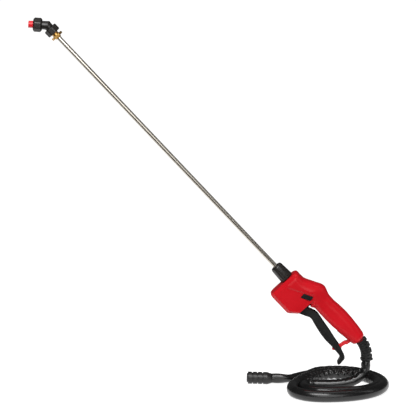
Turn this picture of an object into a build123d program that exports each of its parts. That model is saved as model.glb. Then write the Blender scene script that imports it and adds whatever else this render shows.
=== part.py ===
"""Spray wand of a backpack sprayer: nozzle, lance, valve handle and sleeved hose.

Millimetres, +Z up.  The origin is the centre of the hand grip.  The wand lies in the
XZ plane and leans: the nozzle is up and towards -X, the grip is down and towards +X.
Wand sketches use (u, v): u runs along the lance from nozzle to grip, v towards the
back of the hand, with (0, 0) on the lance axis at the front of the head.
"""
import math
import os

from build123d import *

os.makedirs("parts", exist_ok=True)

# ---------------------------------------------------------------- driving sizes
TILT = 47.0                 # lance axis below horizontal, degrees
GRIP_U = 118.0              # grip centre in wand coordinates
GRIP_V = 17.0

RUN = 0.05                  # radial running clearance of turning pieces
FIT = 0.10                  # clearance between pieces fixed together
GAP = 0.30                  # clearance between pieces that move past each other

LANCE_R = 4.0
LANCE_WALL = 1.0
LANCE_TIP_U = -590.0
LANCE_SEAT = 15.0           # depth of the lance inside the valve

COLLAR_LEN = 30.0
COLLAR_REAR_R = 12.5
COLLAR_FRONT_R = 11.0
FLUTES = 12

HEAD_FRONT = 1.5
HEAD_REAR = 59.6
HEAD_BOTTOM = -40.6
HEAD_TOP = 38.8
HEAD_HALF = 21.0
HEAD_BAND = 6.0             # chamfer band along the front and bottom edges
WALL = 2.5
GRIP_HALF = 16.5
GRIP_END = 171.5
GRIP_FRONT_WALL = 7.6       # depth of the thick front wall of the grip

NOSE_R = 7.0                # valve outlet branch
NOSE_U = -14.0
CHAMBER_U = 62.5            # valve chamber axis
CHAMBER_R = 8.0
CHAMBER_BORE = 6.0
CHAMBER_V0 = 0.8
CHAMBER_V1 = 30.5
SEAT_V = 9.0                # valve seat
STEM_R = 2.45
BOOT_R = 3.3
STEM_TIP_V = -8.4
OUTLET_R = 2.0
OUTLET_V = 3.2

HOSE_V = 18.5               # hose axis in the grip
HOSE_IN_R = 5.0
HOSE_BORE_R = 3.2
BARB_U = 98.0

PIVOT_U = 50.0              # trigger pivot
PIVOT_V = -22.0
PIVOT_R = 2.0
EYE_R = 5.5
LEVER_HALF = 9.0
LEVER_WALL = 2.2
PAD_V = -8.65
LEVER_SWING = 7.0

LATCH_U = 161.5
LATCH_V = 7.5
LATCH_PIN_R = 1.5
LATCH_EYE_R = 3.4
LATCH_HALF = 2.5
SLOT_U0 = 148.0
SLOT_U1 = 162.2

BUTTON_U = 47.3
BUTTON_V = 4.9
BUTTON_TURN = 27.0
BUTTON_LEN = 18.0
BUTTON_WIDTH = 8.0
BUTTON_PROUD = 0.6
BUTTON_TRAVEL = 1.8

SCREW_R = 1.45
SCREW_HEAD_R = 3.0
SCREW_HEAD_Y = 6.0
BOSS_R = 3.9
SCREWS = [(10.5, -31.0), (36.0, -32.0), (14.5, 13.0), (46.5, 26.0), (104.0, 29.0), (150.0, 28.0)]

NOZZLE_BEND = 43.0
ELBOW_U = LANCE_TIP_U - 23.0
ELBOW_R = 7.5
NUT_ACROSS = 24.0
NUT_U0 = LANCE_TIP_U - 17.0
NUT_U1 = LANCE_TIP_U - 5.0
THREAD_R = 7.5
FLANGE_ACROSS = 19.5
CAP_S0 = 11.5
CAP_LEN = 13.0
CAP_ACROSS = 24.2
TIP_R = 6.1
TIP_PROUD = 8.3

SLEEVE_R = 9.5              # outside of the hose's sleeve
RELIEF_BEND_R = 45.0
RELIEF_DROP = 8.0
FLOOR_Z = -130.0
COIL_H = 21.0
BOOT_END_R = 11.0
BOOT_LEN = 35.0
BOOT_TAPER = 8.0
BOOT_TURN = 6.0

# ---------------------------------------------------------------- frames
T = math.radians(TILT)
U_DIR = Vector(math.cos(T), 0, -math.sin(T))
V_DIR = Vector(math.sin(T), 0, math.cos(T))
WAND_O = U_DIR * -GRIP_U + V_DIR * -GRIP_V


def at(u, v=0.0, y=0.0):
    """Wand coordinates to the part's frame."""
    return WAND_O + U_DIR * u + V_DIR * v + Vector(0, y, 0)


WAND = Plane(origin=WAND_O, x_dir=U_DIR, z_dir=(0, -1, 0))
LANCE_AXIS = Axis(WAND_O, U_DIR)


def across(u, v=0.0):
    """Plane square to the lance at u: its x runs along +Y and its y along +v."""
    return Plane(origin=at(u, v), x_dir=(0, -1, 0), z_dir=-U_DIR)


def level(v, u=0.0):
    """Plane square to v, facing +v."""
    return Plane(origin=at(u, v), x_dir=U_DIR, z_dir=V_DIR)


def side(y):
    """Plane parallel to the wand plane at the given y, facing -Y."""
    return WAND.offset(-y)


BEND = math.radians(NOZZLE_BEND)
S_DIR = U_DIR * -math.cos(BEND) + V_DIR * -math.sin(BEND)
NOZZLE = Plane(origin=at(ELBOW_U), x_dir=S_DIR, z_dir=(0, -1, 0))
NOZZLE_AXIS = Axis(at(ELBOW_U), S_DIR)


def nozzle_across(s):
    return Plane(origin=at(ELBOW_U) + S_DIR * s, x_dir=(0, 1, 0), z_dir=S_DIR)


def keep(part, name):
    part.part.label = name
    export_step(part.part, "parts/" + name + ".step")


def ring_profile(x0, x1, r_in, r_out):
    """Half profile of a plain ring between x0 and x1, in the current sketch plane."""
    Polygon((x0, r_in), (x1, r_in), (x1, r_out), (x0, r_out), align=None)


# ---------------------------------------------------------------- lance
with BuildPart() as lance_tube:
    with BuildSketch(WAND):
        ring_profile(LANCE_TIP_U, LANCE_SEAT, LANCE_R - LANCE_WALL, LANCE_R)
    revolve(axis=LANCE_AXIS)
keep(lance_tube, "lance_tube")

FERRULE_U1 = NOSE_U - GAP
FERRULE_U0 = FERRULE_U1 - 2.8
with BuildPart() as lance_ferrule:
    with BuildSketch(WAND):
        ring_profile(FERRULE_U0, FERRULE_U1, LANCE_R, NOSE_R - 1.0)
    revolve(axis=LANCE_AXIS)
keep(lance_ferrule, "lance_ferrule")

SEAL_U = -9.5
SEAL_LEN = 2.2
SEAL_OUT = LANCE_R + 1.6
with BuildPart() as lance_seal:
    with BuildSketch(WAND):
        ring_profile(SEAL_U + FIT, SEAL_U + SEAL_LEN - FIT, LANCE_R + RUN, SEAL_OUT - FIT)
    revolve(axis=LANCE_AXIS)
keep(lance_seal, "lance_seal")

COLLAR_U1 = HEAD_FRONT - 0.4
COLLAR_U0 = COLLAR_U1 - COLLAR_LEN
SHOULDER_U = FERRULE_U0 - GAP
with BuildPart() as collar_nut:
    with BuildSketch(WAND):
        with BuildLine():
            Polyline(
                (COLLAR_U0, LANCE_R + GAP),
                (SHOULDER_U, LANCE_R + GAP),
                (SHOULDER_U, NOSE_R + RUN),
                (COLLAR_U1, NOSE_R + RUN),
                (COLLAR_U1, COLLAR_REAR_R),
                (COLLAR_U0 + 2.0, COLLAR_FRONT_R),
                (COLLAR_U0, COLLAR_FRONT_R - 2.7),
                close=True,
            )
        make_face()
    revolve(axis=LANCE_AXIS)
    # lengthwise flutes, deeper towards the rear
    with BuildSketch(across(COLLAR_U1 + 1.0)):
        with PolarLocations(COLLAR_REAR_R + 0.9, FLUTES):
            Circle(1.7)
    extrude(amount=COLLAR_LEN - 6.0, mode=Mode.SUBTRACT)
keep(collar_nut, "collar_nut")

# ---------------------------------------------------------------- nozzle end
ADAPTER_NECK_R = 6.0
FLANGE_U0 = LANCE_TIP_U - 0.4
FLANGE_U1 = LANCE_TIP_U + 3.6
ADAPTER_U0 = LANCE_TIP_U - 12.0
with BuildPart() as tip_adapter:
    with BuildSketch(WAND):
        with BuildLine():
            Polyline(
                (ADAPTER_U0, LANCE_R - LANCE_WALL),
                (LANCE_TIP_U - FIT, LANCE_R - LANCE_WALL),
                (LANCE_TIP_U - FIT, LANCE_R),
                (LANCE_TIP_U + 6.0, LANCE_R),
                (LANCE_TIP_U + 6.0, LANCE_R + 1.4),
                (FLANGE_U0, LANCE_R + 1.4),
                (FLANGE_U0, ADAPTER_NECK_R),
                (NUT_U1 + 0.2, ADAPTER_NECK_R),
                (NUT_U1 + 0.2, THREAD_R),
                (ADAPTER_U0, THREAD_R),
                close=True,
            )
        make_face()
    revolve(axis=LANCE_AXIS)
    with BuildSketch(across(FLANGE_U1)):
        RegularPolygon(radius=FLANGE_ACROSS / 2, side_count=6, major_radius=False)
        Circle(LANCE_R, mode=Mode.SUBTRACT)
    extrude(amount=FLANGE_U1 - FLANGE_U0)
    # groove for the seal in the end face
    with BuildSketch(across(ADAPTER_U0)):
        Circle(5.9)
        Circle(3.9, mode=Mode.SUBTRACT)
    extrude(amount=-1.4, mode=Mode.SUBTRACT)
keep(tip_adapter, "tip_adapter")

with BuildPart() as elbow_seal:
    with BuildSketch(WAND):
        ring_profile(ADAPTER_U0 - 0.3, ADAPTER_U0 + 1.3, 4.0, 5.8)
    revolve(axis=LANCE_AXIS)
keep(elbow_seal, "elbow_seal")

ELBOW_FLANGE_U1 = ADAPTER_U0 - 0.3
ELBOW_FLANGE_U0 = ELBOW_FLANGE_U1 - 1.7
NUT_LIP_U = ELBOW_FLANGE_U0 - GAP
ELBOW_TAIL_R = 5.6
with BuildPart() as elbow_nut:
    with BuildSketch(across(NUT_U1)):
        RegularPolygon(radius=NUT_ACROSS / 2, side_count=8, major_radius=False)
        Circle(THREAD_R + RUN, mode=Mode.SUBTRACT)
    extrude(amount=NUT_U1 - NUT_LIP_U)
    with BuildSketch(across(NUT_LIP_U)):
        RegularPolygon(radius=NUT_ACROSS / 2, side_count=8, major_radius=False)
        Circle(ELBOW_TAIL_R + RUN, mode=Mode.SUBTRACT)
    extrude(amount=NUT_LIP_U - NUT_U0)
    # rounded-off corners at both ends
    with BuildSketch(WAND):
        with BuildLine():
            Polyline(
                (NUT_U0, ELBOW_TAIL_R - 1.0),
                (NUT_U1, ELBOW_TAIL_R - 1.0),
                (NUT_U1, NUT_ACROSS / 2 - 0.6),
                (NUT_U1 - 1.6, NUT_ACROSS / 2 + 1.0),
                (NUT_U0 + 1.6, NUT_ACROSS / 2 + 1.0),
                (NUT_U0, NUT_ACROSS / 2 - 0.6),
                close=True,
            )
        make_face()
    revolve(axis=LANCE_AXIS, mode=Mode.INTERSECT)
keep(elbow_nut, "elbow_nut")

NOSE_S = 18.0
with BuildPart() as nozzle_elbow:
    with BuildSketch(WAND):
        with BuildLine():
            Polyline(
                (ELBOW_U, 0.0),
                (ELBOW_FLANGE_U1, 0.0),
                (ELBOW_FLANGE_U1, THREAD_R - 0.3),
                (ELBOW_FLANGE_U0, THREAD_R - 0.3),
                (ELBOW_FLANGE_U0, ELBOW_TAIL_R),
                (NUT_U0 - GAP, ELBOW_TAIL_R),
                (NUT_U0 - GAP, ELBOW_R),
                (ELBOW_U, ELBOW_R),
                close=True,
            )
        make_face()
    revolve(axis=LANCE_AXIS)
    with BuildSketch(NOZZLE):
        with BuildLine():
            Polyline(
                (0.0, 0.0),
                (NOSE_S, 0.0),
                (NOSE_S, ELBOW_R),
                (0.0, ELBOW_R),
                close=True,
            )
        make_face()
    revolve(axis=NOZZLE_AXIS)
    with BuildSketch(NOZZLE):
        with BuildLine():
            CenterArc((0, 0), ELBOW_R, 0, 180)
            Line((-ELBOW_R, 0), (ELBOW_R, 0))
        make_face()
    revolve(axis=NOZZLE_AXIS)
    # waterway
    with BuildSketch(across(ELBOW_FLANGE_U1)):
        Circle(3.0)
    extrude(amount=ELBOW_FLANGE_U1 - ELBOW_U, mode=Mode.SUBTRACT)
    with BuildSketch(nozzle_across(0.0)):
        Circle(3.8)
    extrude(amount=NOSE_S, mode=Mode.SUBTRACT)
keep(nozzle_elbow, "nozzle_elbow")

CAP_S1 = CAP_S0 + CAP_LEN
STRAINER_S = NOSE_S + GAP
GASKET_S = STRAINER_S + 1.0
TIP_S = GASKET_S + 1.0
CAP_WALL_S = TIP_S + 2.0
TIP_FLANGE_R = 7.0
with BuildPart() as nozzle_cap:
    with BuildSketch(nozzle_across(CAP_S0)):
        RegularPolygon(radius=CAP_ACROSS / 2, side_count=8, major_radius=False)
        Circle(ELBOW_R + RUN, mode=Mode.SUBTRACT)
    extrude(amount=CAP_WALL_S - CAP_S0)
    with BuildSketch(nozzle_across(CAP_WALL_S)):
        RegularPolygon(radius=CAP_ACROSS / 2, side_count=8, major_radius=False)
        Circle(TIP_R + FIT, mode=Mode.SUBTRACT)
    extrude(amount=CAP_S1 - CAP_WALL_S)
    with BuildSketch(NOZZLE):
        with BuildLine():
            Polyline(
                (CAP_S0, TIP_R - 1.0),
                (CAP_S1, TIP_R - 1.0),
                (CAP_S1, CAP_ACROSS / 2 - 3.2),
                (CAP_S1 - 3.4, CAP_ACROSS / 2 + 1.0),
                (CAP_S0 + 1.4, CAP_ACROSS / 2 + 1.0),
                (CAP_S0, CAP_ACROSS / 2 - 0.4),
                close=True,
            )
        make_face()
    revolve(axis=NOZZLE_AXIS, mode=Mode.INTERSECT)
keep(nozzle_cap, "nozzle_cap")

with BuildPart() as spray_tip:
    with BuildSketch(NOZZLE):
        with BuildLine():
            Polyline(
                (TIP_S, 0.9),
                (CAP_S1 + TIP_PROUD, 0.9),
                (CAP_S1 + TIP_PROUD, TIP_R - 0.8),
                (CAP_S1 + TIP_PROUD - 0.8, TIP_R),
                (CAP_WALL_S - FIT, TIP_R),
                (CAP_WALL_S - FIT, TIP_FLANGE_R),
                (TIP_S, TIP_FLANGE_R),
                close=True,
            )
        make_face()
    revolve(axis=NOZZLE_AXIS)
    # fan slot across the front face
    with BuildSketch(nozzle_across(CAP_S1 + TIP_PROUD)):
        Rectangle(2.4, 2 * TIP_R + 2)
    extrude(amount=-2.6, mode=Mode.SUBTRACT)
keep(spray_tip, "spray_tip")

with BuildPart() as tip_gasket:
    with BuildSketch(NOZZLE):
        ring_profile(GASKET_S, TIP_S, 3.4, TIP_FLANGE_R)
    revolve(axis=NOZZLE_AXIS)
keep(tip_gasket, "tip_gasket")

with BuildPart() as tip_strainer:
    with BuildSketch(NOZZLE):
        with BuildLine():
            Polyline(
                (7.0, 0.0),
                (8.5, 0.0),
                (8.5, 2.4),
                (GASKET_S, 2.4),
                (GASKET_S, TIP_FLANGE_R),
                (STRAINER_S, TIP_FLANGE_R),
                (STRAINER_S, 3.4),
                (7.0, 3.4),
                close=True,
            )
        make_face()
    revolve(axis=NOZZLE_AXIS)
keep(tip_strainer, "tip_strainer")

# ---------------------------------------------------------------- valve
INLET_U1 = 82.0
BARB_ROOT_R = 4.4
with BuildPart() as valve_body:
    with BuildSketch(WAND):
        with BuildLine():
            Polyline((NOSE_U, 0), (56.0, 0), (56.0, NOSE_R), (NOSE_U, NOSE_R), close=True)
        make_face()
    revolve(axis=LANCE_AXIS)
    with BuildSketch(level(CHAMBER_V0, CHAMBER_U)):
        Circle(CHAMBER_R)
    extrude(amount=CHAMBER_V1 - CHAMBER_V0)
    with BuildSketch(across(INLET_U1, HOSE_V)):
        Circle(NOSE_R - 0.5)
    extrude(amount=INLET_U1 - CHAMBER_U)
    # a web joins the outlet branch to the chamber
    with BuildSketch(WAND):
        with BuildLine():
            Polyline((46, 2), (60, 2), (60, 12), (54, 12), close=True)
        make_face()
    extrude(amount=2.0, both=True)
    with BuildSketch(across(LANCE_SEAT + 0.4)):
        Circle(LANCE_R + RUN)
    extrude(amount=LANCE_SEAT + 0.4 - NOSE_U, mode=Mode.SUBTRACT)
    with BuildSketch(across(SEAL_U + SEAL_LEN)):
        Circle(SEAL_OUT)
    extrude(amount=SEAL_LEN, mode=Mode.SUBTRACT)
    with BuildSketch(across(CHAMBER_U, OUTLET_V)):
        Circle(OUTLET_R)
    extrude(amount=CHAMBER_U - LANCE_SEAT - 0.2, mode=Mode.SUBTRACT)
    with BuildSketch(level(CHAMBER_V0 - 1, CHAMBER_U)):
        Circle(STEM_R + RUN)
    extrude(amount=SEAT_V - CHAMBER_V0 + 1, mode=Mode.SUBTRACT)
    with BuildSketch(level(4.0, CHAMBER_U)):
        Circle(4.0)
    extrude(amount=SEAT_V - 4.0, mode=Mode.SUBTRACT)
    with BuildSketch(level(1.6, CHAMBER_U)):
        Circle(4.1)
    extrude(amount=1.6, mode=Mode.SUBTRACT)
    with BuildSketch(level(SEAT_V, CHAMBER_U)):
        Circle(CHAMBER_BORE)
    extrude(amount=CHAMBER_V1 - SEAT_V, mode=Mode.SUBTRACT)
    with BuildSketch(across(INLET_U1, HOSE_V)):
        Circle(BARB_ROOT_R + FIT)
    extrude(amount=INLET_U1 - CHAMBER_U, mode=Mode.SUBTRACT)
keep(valve_body, "valve_body")

with BuildPart() as stem_seal:
    with BuildSketch(level(1.7, CHAMBER_U)):
        Circle(4.0)
        Circle(STEM_R + RUN, mode=Mode.SUBTRACT)
    extrude(amount=1.4)
keep(stem_seal, "stem_seal")

POPPET_R = 5.0
with BuildPart() as valve_stem:
    with BuildSketch(level(-7.6, CHAMBER_U)):
        Circle(STEM_R)
    extrude(amount=SEAT_V + 7.6 + 1.0)
    with BuildSketch(level(SEAT_V + RUN, CHAMBER_U)):
        Circle(POPPET_R)
    extrude(amount=3.0)
    with BuildSketch(level(SEAT_V + 2.0, CHAMBER_U)):
        Circle(2.4)
    extrude(amount=4.5)
keep(valve_stem, "valve_stem")

with BuildPart() as plunger_boot:
    with BuildSketch(level(-7.6, CHAMBER_U)):
        Circle(BOOT_R)
        Circle(STEM_R, mode=Mode.SUBTRACT)
    extrude(amount=6.4)
    # domed foot that the lever presses
    with BuildSketch(WAND):
        with BuildLine():
            Line((CHAMBER_U, STEM_TIP_V), (CHAMBER_U, -7.6))
            Line((CHAMBER_U, -7.6), (CHAMBER_U + BOOT_R, -7.6))
            ThreePointArc(
                (CHAMBER_U + BOOT_R, -7.6),
                (CHAMBER_U + BOOT_R * 0.72, STEM_TIP_V + 0.38),
                (CHAMBER_U, STEM_TIP_V),
            )
        make_face()
    revolve(axis=Axis(at(CHAMBER_U), V_DIR))
keep(plunger_boot, "plunger_boot")

PLUG_V = 27.0
with BuildPart() as valve_plug:
    with BuildSketch(level(PLUG_V, CHAMBER_U)):
        Circle(CHAMBER_BORE - FIT)
    extrude(amount=CHAMBER_V1 - PLUG_V)
    with BuildSketch(level(CHAMBER_V1, CHAMBER_U)):
        Circle(CHAMBER_R)
    extrude(amount=2.4)
keep(valve_plug, "valve_plug")

with BuildPart() as valve_spring:
    with BuildSketch(level(SEAT_V + 3.0 + RUN + FIT, CHAMBER_U)):
        Circle(4.6)
        Circle(3.4, mode=Mode.SUBTRACT)
    extrude(amount=PLUG_V - SEAT_V - 3.0 - RUN - 2 * FIT)
keep(valve_spring, "valve_spring")

# ---------------------------------------------------------------- hose inside the grip
with BuildPart() as hose_barb:
    with BuildSketch(across(BARB_U, HOSE_V)):
        Circle(HOSE_BORE_R - 0.3)
    extrude(amount=BARB_U - INLET_U1)
    with BuildSketch(across(INLET_U1 + 3.0, HOSE_V)):
        RegularPolygon(radius=5.6, side_count=6, major_radius=False)
    extrude(amount=3.0)
    with BuildSketch(across(INLET_U1, HOSE_V)):
        Circle(BARB_ROOT_R)
    extrude(amount=10.0)
    for u in (BARB_U - 1.0, BARB_U - 5.0, BARB_U - 9.0):
        with BuildSketch(across(u, HOSE_V)):
            Circle(HOSE_BORE_R - FIT)
        extrude(amount=1.6)
    with BuildSketch(across(BARB_U, HOSE_V)):
        Circle(1.9)
    extrude(amount=BARB_U - INLET_U1 + 10.0, mode=Mode.SUBTRACT)
keep(hose_barb, "hose_barb")


def hose_path():
    """Centre line from the grip's end through the strain relief."""
    bend = JernArc((GRIP_END, HOSE_V), (1, 0), RELIEF_BEND_R, TILT - 90.0)
    end = bend.position_at(1)
    way = bend.tangent_at(1)
    Line(end, end + way * RELIEF_DROP)


HOSE_U0 = INLET_U1 + 3.0 + FIT
with BuildPart() as inner_hose:
    with BuildLine(WAND):
        Line((HOSE_U0, HOSE_V), (GRIP_END, HOSE_V))
        hose_path()
    with BuildSketch(across(HOSE_U0, HOSE_V)):
        Circle(HOSE_IN_R)
        Circle(HOSE_BORE_R, mode=Mode.SUBTRACT)
    sweep()
keep(inner_hose, "inner_hose")

CLAMP_U = 88.0
with BuildPart() as hose_clamp:
    with BuildSketch(across(CLAMP_U + 6.0, HOSE_V)):
        Circle(HOSE_IN_R + 1.0)
        Circle(HOSE_IN_R + FIT, mode=Mode.SUBTRACT)
    extrude(amount=6.0)
    with BuildSketch(side(0)):
        with Locations((CLAMP_U + 3.0, HOSE_V + HOSE_IN_R + 2.0)):
            Rectangle(5.0, 3.0)
    extrude(amount=3.0, both=True)
    with BuildSketch(across(CLAMP_U + 6.0, HOSE_V)):
        Circle(HOSE_IN_R + FIT)
    extrude(amount=6.0, mode=Mode.SUBTRACT)
keep(hose_clamp, "hose_clamp")

RELIEF_BORE = HOSE_IN_R + 0.6
RELIEF_NECK = 8.0
RELIEF_FLANGE = 9.8
RELIEF_IN_U = GRIP_END - WALL - FIT
with BuildPart() as strain_relief:
    with BuildLine(WAND):
        hose_path()
    with BuildSketch(across(GRIP_END, HOSE_V)):
        Circle(RELIEF_NECK)
        Circle(RELIEF_BORE, mode=Mode.SUBTRACT)
    sweep()
    with BuildSketch(across(GRIP_END, HOSE_V)):
        Circle(RELIEF_NECK)
        Circle(RELIEF_BORE, mode=Mode.SUBTRACT)
    extrude(amount=WALL + FIT)
    with BuildSketch(across(RELIEF_IN_U, HOSE_V)):
        Circle(RELIEF_FLANGE)
        Circle(RELIEF_BORE, mode=Mode.SUBTRACT)
    extrude(amount=3.0)
    # rings along the bend, with blocks on the outside of the curve
    centre = at(GRIP_END, HOSE_V) - V_DIR * RELIEF_BEND_R
    for k in range(4):
        a = math.radians(5.0 + 9.5 * k)
        out = V_DIR * math.cos(a) + U_DIR * math.sin(a)
        way = U_DIR * math.cos(a) - V_DIR * math.sin(a)
        spot = Plane(origin=centre + out * RELIEF_BEND_R, x_dir=out, z_dir=way)
        with BuildSketch(spot):
            Circle(SLEEVE_R)
            Circle(RELIEF_NECK - 0.5, mode=Mode.SUBTRACT)
        extrude(amount=1.7, both=True)
        with BuildSketch(spot):
            with Locations((SLEEVE_R - 0.3, 0)):
                Rectangle(3.4, 8.0)
            Circle(RELIEF_NECK - 0.5, mode=Mode.SUBTRACT)
        extrude(amount=1.7, both=True)
    base = centre + Vector(RELIEF_BEND_R, 0, 0)
    spot = Plane(origin=base - Vector(0, 0, RELIEF_DROP - 6.6), x_dir=(1, 0, 0), z_dir=(0, 0, -1))
    with BuildSketch(spot):
        Circle(SLEEVE_R)
        Circle(RELIEF_NECK - 0.5, mode=Mode.SUBTRACT)
    extrude(amount=4.2)
    with BuildSketch(spot):
        with Locations((SLEEVE_R, 0)):
            Rectangle(4.0, 8.5)
        Circle(RELIEF_NECK - 0.5, mode=Mode.SUBTRACT)
    extrude(amount=4.2)
keep(strain_relief, "strain_relief")
RELIEF_TIP = base - Vector(0, 0, RELIEF_DROP)

# ---------------------------------------------------------------- sleeved hose
RING = [
    (-82, -60), (-50, -82), (12, -86), (60, -74), (84, -36), (86, 14), (70, 58), (30, 88),
    (-20, 90), (-58, 68), (-84, 10),
]
DROP = [
    RELIEF_TIP,
    RELIEF_TIP - Vector(0, 0, 16.0),
    Vector(40.0, -3.0, -107.0),
    Vector(20.0, -5.0, -116.5),
    Vector(-6.0, -5.5, -120.0),
    Vector(-34.0, -3.0, -120.4),
    Vector(-64.0, -4.0, -120.4),
]
BT = math.radians(BOOT_TURN)
BOOT_DIR = Vector(-math.cos(BT), math.sin(BT), 0)
BOOT_START = Vector(-117.5, 33.7, FLOOR_Z + BOOT_END_R)
TAIL = [
    Vector(-48.0, 64.0, -120.4),
    Vector(-68.0, 46.5, -120.4),
    Vector(-86.0, 35.0, -119.8),
    BOOT_START - BOOT_DIR * 15.0,
    BOOT_START,
]


def cord_radii(points):
    """Arc radius at each inner point: 0.45 of the shorter run over tan(half turn)."""
    radii = []
    for i in range(1, len(points) - 1):
        before = points[i] - points[i - 1]
        after = points[i + 1] - points[i]
        half = math.radians(before.get_angle(after) / 2)
        radii.append(0.45 * min(before.length, after.length) / math.tan(half))
    return radii


def report_cord(name, points, solid):
    radii = cord_radii(points)
    with BuildLine(mode=Mode.PRIVATE) as path:
        FilletPolyline(*points, radius=radii)
    length = sum(edge.length for edge in path.line.edges())
    ideal = math.pi * SLEEVE_R ** 2 * length
    print(name, "radii", [round(r) for r in radii], "length", round(length, 1),
          "volume ratio", round(solid.volume / ideal, 4))


with BuildPart() as hose_drop:
    with BuildLine():
        FilletPolyline(*DROP, radius=cord_radii(DROP))
    with BuildSketch(Plane(origin=DROP[0], z_dir=DROP[1] - DROP[0])):
        Circle(SLEEVE_R)
    sweep()
keep(hose_drop, "hose_drop")
report_cord("hose_drop", DROP, hose_drop.part)

with BuildPart() as hose_coil:
    with BuildSketch(Plane.XY.offset(FLOOR_Z)) as coil_sketch:
        with BuildLine():
            Polyline(*RING, close=True)
        make_face()
        fillet(coil_sketch.vertices(), radius=26.0)
        offset(amount=SLEEVE_R)
        with BuildSketch(Plane.XY, mode=Mode.SUBTRACT) as hole:
            with BuildLine():
                Polyline(*RING, close=True)
            make_face()
            fillet(hole.vertices(), radius=26.0)
            offset(amount=-3.1 * SLEEVE_R)
    extrude(amount=COIL_H)
    fillet(hose_coil.edges().filter_by(Plane.XY), radius=6.0)
keep(hose_coil, "hose_coil")

with BuildPart() as hose_tail:
    with BuildLine():
        FilletPolyline(*TAIL, radius=cord_radii(TAIL))
    with BuildSketch(Plane(origin=TAIL[0], z_dir=TAIL[1] - TAIL[0])):
        Circle(SLEEVE_R)
    sweep()
keep(hose_tail, "hose_tail")
report_cord("hose_tail", TAIL, hose_tail.part)

# ---------------------------------------------------------------- hose end fitting
BOOT_PLANE = Plane(origin=BOOT_START, x_dir=BOOT_DIR, z_dir=(0, 0, 1))
BOOT_AXIS = Axis(BOOT_START, BOOT_DIR)
BOOT_BORE = 8.2
BOOT_END = BOOT_TAPER + BOOT_LEN
BANDS = 4
BAND = 7.6
GROOVE_R = BOOT_END_R - 1.4
PITCH = (BOOT_LEN - BAND) / (BANDS - 1)
with BuildPart() as end_boot:
    with BuildSketch(BOOT_PLANE):
        with BuildLine():
            Polyline(
                (0.0, 0.0),
                (BOOT_TAPER, 0.0),
                (BOOT_TAPER, BOOT_BORE),
                (BOOT_END, BOOT_BORE),
                (BOOT_END, GROOVE_R),
                (BOOT_TAPER, GROOVE_R),
                (0.0, SLEEVE_R - 1.0),
                close=True,
            )
        make_face()
    revolve(axis=BOOT_AXIS)
    for k in range(BANDS):
        x0 = BOOT_TAPER + k * PITCH
        with BuildSketch(BOOT_PLANE):
            ring_profile(x0, x0 + BAND, BOOT_BORE, BOOT_END_R)
        revolve(axis=BOOT_AXIS)
keep(end_boot, "end_boot")

CONNECTOR_BORE = 5.0
CONNECTOR_PROUD = 1.5
with BuildPart() as end_connector:
    with BuildSketch(BOOT_PLANE):
        with BuildLine():
            Polyline(
                (BOOT_TAPER + FIT, 0.0),
                (BOOT_TAPER + 12.0, 0.0),
                (BOOT_TAPER + 12.0, CONNECTOR_BORE),
                (BOOT_END + CONNECTOR_PROUD, CONNECTOR_BORE),
                (BOOT_END + CONNECTOR_PROUD, BOOT_BORE - FIT),
                (BOOT_TAPER + FIT, BOOT_BORE - FIT),
                close=True,
            )
        make_face()
    revolve(axis=BOOT_AXIS)
keep(end_connector, "end_connector")

# ---------------------------------------------------------------- trigger, latch, button
LEVER_TOP = [
    (PIVOT_U - 1.0, PIVOT_V + EYE_R), (58.5, PAD_V), (67.4, PAD_V), (73.5, -6.2), (80.0, -3.9),
    (85.5, -3.1), (92.9, -4.2), (108.7, -6.8), (123.8, -8.9), (140.3, -12.2), (158.6, -14.8),
    (165.7, -19.0), (174.0, -23.2), (176.4, -26.0),
]
LEVER_HOOK = [
    (177.0, -36.0), (174.4, -39.0), (171.0, -38.3), (169.0, -35.2), (168.7, -29.4), (166.1, -27.8),
]
LEVER_BELOW = [
    (149.0, -25.1), (129.0, -25.7), (114.6, -24.2), (98.0, -20.9), (84.2, -17.6), (79.4, -18.0),
    (73.1, -21.6), (59.4, -28.0), (PIVOT_U, PIVOT_V - EYE_R),
]
CHANNEL_END = 167.0
with BuildPart() as trigger_lever:
    with BuildSketch(WAND):
        with BuildLine():
            Polyline(*LEVER_TOP, *LEVER_HOOK, *LEVER_BELOW, close=True)
        make_face()
        with Locations((PIVOT_U, PIVOT_V)):
            Circle(EYE_R)
    extrude(amount=LEVER_HALF, both=True)
    # channel, open towards the grip, behind the solid pad that meets the plunger
    with BuildSketch(WAND):
        with BuildLine():
            inner = [(u, v + LEVER_WALL) for u, v in LEVER_BELOW[:6]]
            Polyline(
                (CHANNEL_END, -27.8 + LEVER_WALL),
                *inner,
                (77.0, 0.0),
                (CHANNEL_END, 0.0),
                close=True,
            )
        make_face()
    extrude(amount=LEVER_HALF - LEVER_WALL, both=True, mode=Mode.SUBTRACT)
    # the root straddles the pivot as two ears
    with BuildSketch(WAND):
        with BuildLine():
            Polyline((40, -40), (56.5, -40), (56.5, PAD_V + 3), (40, PAD_V + 3), close=True)
        make_face()
    extrude(amount=LEVER_HALF - 2 * LEVER_WALL, both=True, mode=Mode.SUBTRACT)
    # slot for the latch
    with BuildSketch(WAND):
        with BuildLine():
            Polyline((SLOT_U0, -32), (SLOT_U1, -32), (SLOT_U1, -20), (SLOT_U0, -20), close=True)
        make_face()
    extrude(amount=LATCH_HALF + 1.0, both=True, mode=Mode.SUBTRACT)
    with BuildSketch(WAND):
        with Locations((PIVOT_U, PIVOT_V)):
            Circle(PIVOT_R + RUN)
    extrude(amount=LEVER_HALF + 1, both=True, mode=Mode.SUBTRACT)
keep(trigger_lever, "trigger_lever")

with BuildPart() as trigger_pin:
    with BuildSketch(WAND):
        with Locations((PIVOT_U, PIVOT_V)):
            Circle(PIVOT_R)
    extrude(amount=HEAD_HALF - WALL - 2.0, both=True)
keep(trigger_pin, "trigger_pin")

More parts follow.
